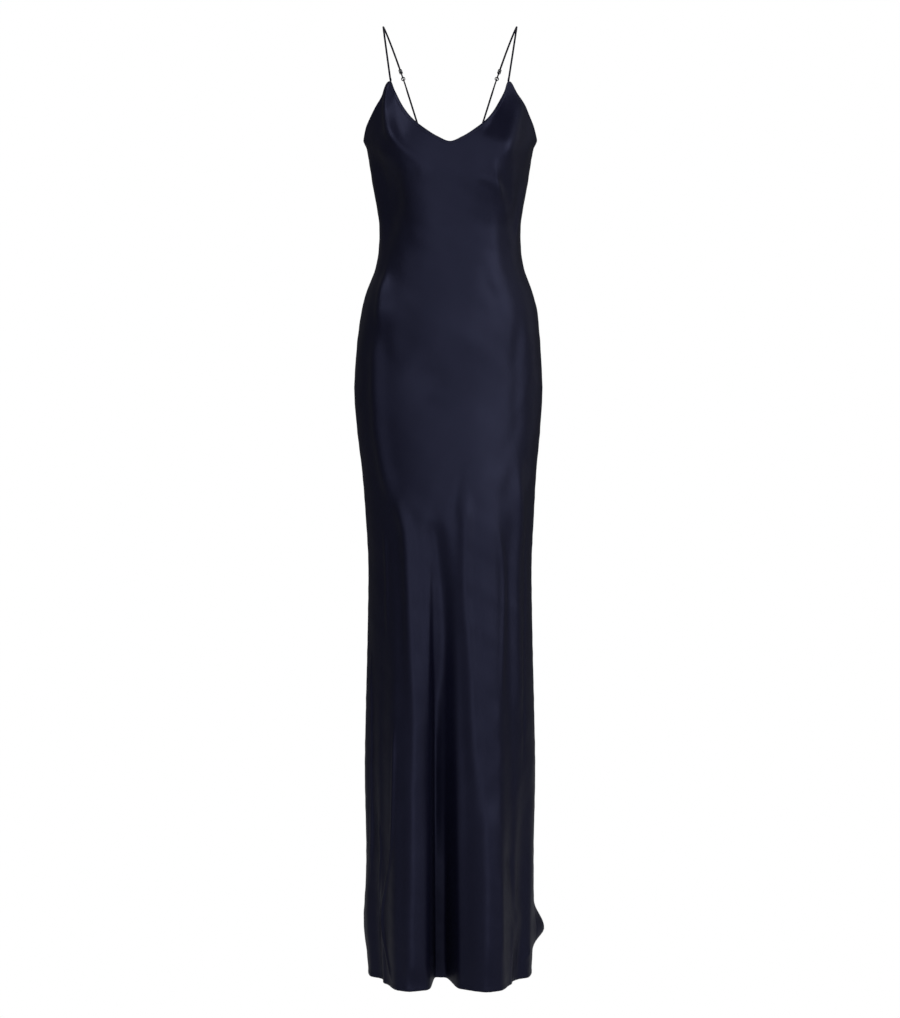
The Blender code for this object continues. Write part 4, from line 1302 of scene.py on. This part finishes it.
def stitch_tree():
    """Geometry nodes that lay stitches of thread end to end along lines."""
    tree = bpy.data.node_groups.new("stitches_along_lines", "GeometryNodeTree")
    face = tree.interface
    face.new_socket("Lines", in_out="INPUT", socket_type="NodeSocketGeometry")
    for name in ("Stitch Length", "Stitch Spacing", "Thread Radius", "Unevenness"):
        face.new_socket(name, in_out="INPUT", socket_type="NodeSocketFloat")
    face.new_socket("Seed", in_out="INPUT", socket_type="NodeSocketInt")
    face.new_socket("Thread", in_out="INPUT", socket_type="NodeSocketMaterial")
    face.new_socket("Stitches", in_out="OUTPUT", socket_type="NodeSocketGeometry")

    add = partial(add_node, tree)
    given = tree.nodes.new("NodeGroupInput").outputs
    curves = add("GeometryNodeMeshToCurve", {"Mesh": given["Lines"]})
    points = add("GeometryNodeCurveToPoints", {"Curve": curves.outputs["Curve"],
                                               "Length": given["Stitch Spacing"]}, mode="LENGTH")
    along = add("FunctionNodeAlignRotationToVector", {"Vector": points.outputs["Tangent"]},
                axis="X")
    less = add("ShaderNodeMath", {0: given["Unevenness"], 1: -1.0}, operation="MULTIPLY")
    tilt = add("FunctionNodeRandomValue", {"Min": less.outputs[0], "Max": given["Unevenness"],
                                           "Seed": given["Seed"]}, data_type="FLOAT_VECTOR")
    lean = add("FunctionNodeEulerToRotation", {"Euler": tilt.outputs["Value"]})
    turned = add("FunctionNodeRotateRotation", {"Rotation": along.outputs["Rotation"],
                                                "Rotate By": lean.outputs["Rotation"]},
                 rotation_space="LOCAL")
    half = add("ShaderNodeMath", {0: given["Stitch Length"], 1: 0.5}, operation="MULTIPLY")
    stretch = add("ShaderNodeCombineXYZ", {"X": half.outputs[0], "Y": given["Thread Radius"],
                                           "Z": given["Thread Radius"]})
    grain = add("GeometryNodeMeshUVSphere", {"Segments": 8, "Rings": 5, "Radius": 1.0})
    smooth = add("GeometryNodeSetShadeSmooth", {"Geometry": grain.outputs["Mesh"]})
    laid = add("GeometryNodeInstanceOnPoints", {"Points": points.outputs["Points"],
                                                "Instance": smooth.outputs["Geometry"],
                                                "Rotation": turned.outputs["Rotation"],
                                                "Scale": stretch.outputs["Vector"]})
    real = add("GeometryNodeRealizeInstances", {"Geometry": laid.outputs["Instances"]})
    thread = add("GeometryNodeSetMaterial", {"Geometry": real.outputs["Geometry"],
                                             "Material": given["Thread"]})
    add("NodeGroupOutput", {"Stitches": thread.outputs["Geometry"]})
    return tree


def sew(name, lines):
    """Stitches along lines of points (millimetres), as one plain mesh."""
    cloth = settings().cloth
    tree = bpy.data.node_groups.get("stitches_along_lines") or stitch_tree()
    points, edges = [], []
    for line in lines:
        edges += [(len(points) + i, len(points) + i + 1) for i in range(len(line) - 1)]
        points += (np.asarray(line) * MM).tolist()
    guide = bpy.data.meshes.new(name + "_guide")
    guide.from_pydata(points, edges, [])
    sewing = new_piece(name + "_guide", guide)
    stitches = sewing.modifiers.new("stitches", "NODES")
    stitches.node_group = tree
    values = {"Stitch Length": cloth.stitch, "Stitch Spacing": cloth.stitch_pitch,
              "Thread Radius": cloth.thread, "Unevenness": STITCH_UNEVENNESS,
              "Seed": STITCH_SEED, "Thread": finish("navy_thread")}
    for item in tree.interface.items_tree:
        if item.in_out == "INPUT" and item.name in values:
            stitches[item.identifier] = values[item.name]
    evaluated = sewing.evaluated_get(bpy.context.evaluated_depsgraph_get())
    data = bpy.data.meshes.new_from_object(evaluated)
    bpy.data.objects.remove(sewing)
    bpy.data.meshes.remove(guide)
    if len(data.polygons) == 0:
        raise RuntimeError(name + ": no stitches were made")
    data.name = name
    on_the_dress(new_piece(name, data), "satin")


def tack_lines(angle, top_edge):
    """Short rows of stitches across a strap where it is sewn on."""
    top = float(top_edge(from_seam(angle)))
    across = angle + TACK_HALF * np.linspace(-1.0, 1.0, TACK_POINTS)
    heights = [np.full(TACK_POINTS, top - below) for below in TACK_DEPTHS]
    return [finished_face(across, height) + form_outward(across, height) * TACK_OUT
            for height in heights]


class DRESS_OT_stitches(bpy.types.Operator):
    """Sew the turned edges and the hem, and tack the straps"""

    bl_idname = "dress.stitches"
    bl_label = "Stitches"

    def execute(self, context):
        cloth = settings().cloth
        edge_turn, hem_turn = cloth.edge_turn / MM, cloth.hem_turn / MM
        for word, edges, hem in (("front", FRONT_EDGES, FRONT_HEM), ("back", BACK_EDGES, BACK_HEM)):
            lines = [band_along(edge, edge_turn, [EDGE_STITCH])[0][:, 0] for edge in edges]
            sew(word + "_edge_stitches", lines)
            sew(word + "_hem_stitches", [band_along(hem, hem_turn, [HEM_STITCH])[0][:, 0]])
        tacks = []
        for _, side in SIDES:
            strap = Strap(side)
            tacks += tack_lines(strap.front_angle, FRONT_TOP)
            tacks += tack_lines(strap.seat(), BACK_TOP)
        sew("strap_tacks", tacks)
        return {"FINISHED"}


# ---- stage ---------------------------------------------------------------------------------------

CAMERA_PLACE = (0.0, -4.0, -0.4495)
CAMERA_AIM = (0.0, 0.0, -0.7745)
LENS = 87.07
SENSOR = 36.0
CLIPPING = (0.05, 60.0)
FLOOR_SPAN = 14.0
LIGHT_AIM = (0.0, 0.0, -0.8)

# A soft light: its azimuth (0 in front, 90 on the wearer's left), distance from the dress and
# height, its own width and height, and its power as a share of the key light's. Down to
# high_light_right_50, a fitting program worked out the shares.
SoftBox = namedtuple("SoftBox", "name azimuth distance level width height share")
LIGHTS = [
    SoftBox("right_front_light", -40.0, 3.2, 0.1, 1.1, 2.4, 0.239),
    SoftBox("right_inner_light", -20.0, 3.2, 0.1, 1.1, 2.4, 0.292),
    SoftBox("front_light", 0.0, 3.2, 0.1, 1.1, 2.4, 0.438),
    SoftBox("left_inner_light", 20.0, 3.2, 0.1, 1.1, 2.4, 0.323),
    SoftBox("left_front_light", 40.0, 3.2, 0.1, 1.1, 2.4, 0.741),
    SoftBox("left_far_light", 60.0, 3.2, 0.1, 1.1, 2.4, 0.958),
    SoftBox("left_side_light", 80.0, 3.2, 0.1, 1.1, 2.4, 0.159),
    SoftBox("side_light_110", 110.0, 3.0, 0.0, 0.8, 2.2, 0.179),
    SoftBox("low_light", 0.0, 3.0, -1.5, 2.0, 0.5, 0.295),
    SoftBox("high_light_right_30", -30.0, 2.3, 1.7, 1.2, 1.2, 0.141),
    SoftBox("high_light_right_50", -50.0, 2.6, 1.6, 1.2, 1.2, 0.799),
    SoftBox("back_left_light", 162.0, 2.3, 1.7, 1.3, 1.3, 0.80),
    SoftBox("back_right_light", -158.0, 2.3, 1.5, 1.3, 1.3, 0.70),
    SoftBox("back_light", 180.0, 3.3, -0.4, 0.45, 2.4, 1.0),
]


def set_up(name, data, place, target):
    """A light or camera at its place, turned to its target."""
    thing = bpy.data.objects.new(name, data)
    thing.location = place
    thing.rotation_mode = "QUATERNION"
    thing.rotation_quaternion = (Vector(target) - Vector(place)).to_track_quat("-Z", "Y")
    bpy.context.scene.collection.objects.link(thing)
    return thing


def show_camera(plain, lit, end):
    """End a tree in a shader that is plain to the camera, and lit to every other ray."""
    tree = end.id_data
    ray = add_node(tree, "ShaderNodeLightPath")
    mix = add_node(tree, "ShaderNodeMixShader", {"Fac": ray.outputs["Is Camera Ray"],
                                                 1: lit.outputs[0], 2: plain.outputs[0]})
    tree.links.new(mix.outputs["Shader"], end.inputs["Surface"])


class DRESS_OT_stage(bpy.types.Operator):
    """Set a pale floor, soft lights and the camera"""

    bl_idname = "dress.stage"
    bl_label = "Stage"

    def execute(self, context):
        stage = settings().stage
        self.floor(stage)
        self.surroundings(context.scene, stage)
        for light in LIGHTS:
            self.soft_light(light, stage.key)
        self.camera(context.scene)
        context.scene.view_settings.view_transform = "Standard"
        return {"FINISHED"}

    @staticmethod
    def soft_light(light, key):
        """A softbox aimed at the dress, which the camera doesn't see."""
        data = bpy.data.lights.new(light.name, "AREA")
        data.shape = "RECTANGLE"
        data.size = light.width
        data.size_y = light.height
        data.energy = light.share * key
        turn = radians(light.azimuth)
        place = (light.distance * sin(turn), -light.distance * cos(turn), light.level)
        set_up(light.name, data, place, LIGHT_AIM).visible_camera = False

    @staticmethod
    def camera(scene):
        """The camera, straight in front."""
        data = bpy.data.cameras.new("camera")
        data.lens = LENS
        data.sensor_width = SENSOR
        data.clip_start, data.clip_end = CLIPPING
        scene.camera = set_up("camera", data, CAMERA_PLACE, CAMERA_AIM)

    @staticmethod
    def floor(stage):
        """A large pale floor. The camera sees it lit evenly to the edges."""
        ends = (-FLOOR_SPAN, FLOOR_SPAN)
        points = np.array([[(x, y, stage.floor_height) for x in ends] for y in ends])
        data = grid_mesh("floor", points, points[..., :2])
        pale = Shader("pale_floor", (0.6, 0.6, 0.6), 0.9)
        even = pale.add("Emission", {"Color": (*stage.backdrop, 1.0)})
        show_camera(even, pale.principled, pale.tree.nodes["Material Output"])
        new_piece("floor", data, pale.material)

    @staticmethod
    def surroundings(scene, stage):
        """Soft light all round. The camera sees a plain backdrop."""
        world = bpy.data.worlds.new("surroundings")
        world.use_nodes = True
        scene.world = world
        soft = world.node_tree.nodes["Background"]
        soft.inputs["Color"].default_value = (1.0, 1.0, 1.0, 1.0)
        soft.inputs["Strength"].default_value = stage.fill
        seen = add_node(world.node_tree, "ShaderNodeBackground",
                        {"Color": (*stage.backdrop, 1.0)})
        show_camera(seen, soft, world.node_tree.nodes["World Output"])


# ---- the add-on ----------------------------------------------------------------------------------

class DRESS_PT_sidebar(bpy.types.Panel):
    """The dress's sizes, colours and pieces"""

    bl_idname = "DRESS_PT_sidebar"
    bl_label = "Slip dress"
    bl_space_type = "VIEW_3D"
    bl_region_type = "UI"
    bl_category = "Dress"

    def draw(self, context):
        layout = self.layout
        dress = context.scene.slip_dress
        for group in (dress.cloth, dress.straps, dress.stage):
            box = layout.box()
            for prop in group.bl_rna.properties:
                if prop.identifier not in ("rna_type", "name"):
                    box.prop(group, prop.identifier)
        for operator in OPERATORS:
            layout.operator(operator.bl_idname)


OPERATORS = (DRESS_OT_stage, DRESS_OT_front, DRESS_OT_back, DRESS_OT_turned_edges, DRESS_OT_straps,
             DRESS_OT_metal, DRESS_OT_stitches)
CLASSES = (ClothSettings, StrapSettings, StageSettings, DressSettings, *OPERATORS, DRESS_PT_sidebar)


def register():
    for cls in CLASSES:
        bpy.utils.register_class(cls)
    bpy.types.Scene.slip_dress = bpy.props.PointerProperty(type=DressSettings)


def unregister():
    del bpy.types.Scene.slip_dress
    for cls in reversed(CLASSES):
        bpy.utils.unregister_class(cls)


def main():
    register()
    bpy.ops.dress.stage()
    bpy.ops.dress.front()
    bpy.ops.dress.back()
    bpy.ops.dress.turned_edges()
    bpy.ops.dress.straps()
    bpy.ops.dress.metal()
    bpy.ops.dress.stitches()


if __name__ == "__main__":
    main()
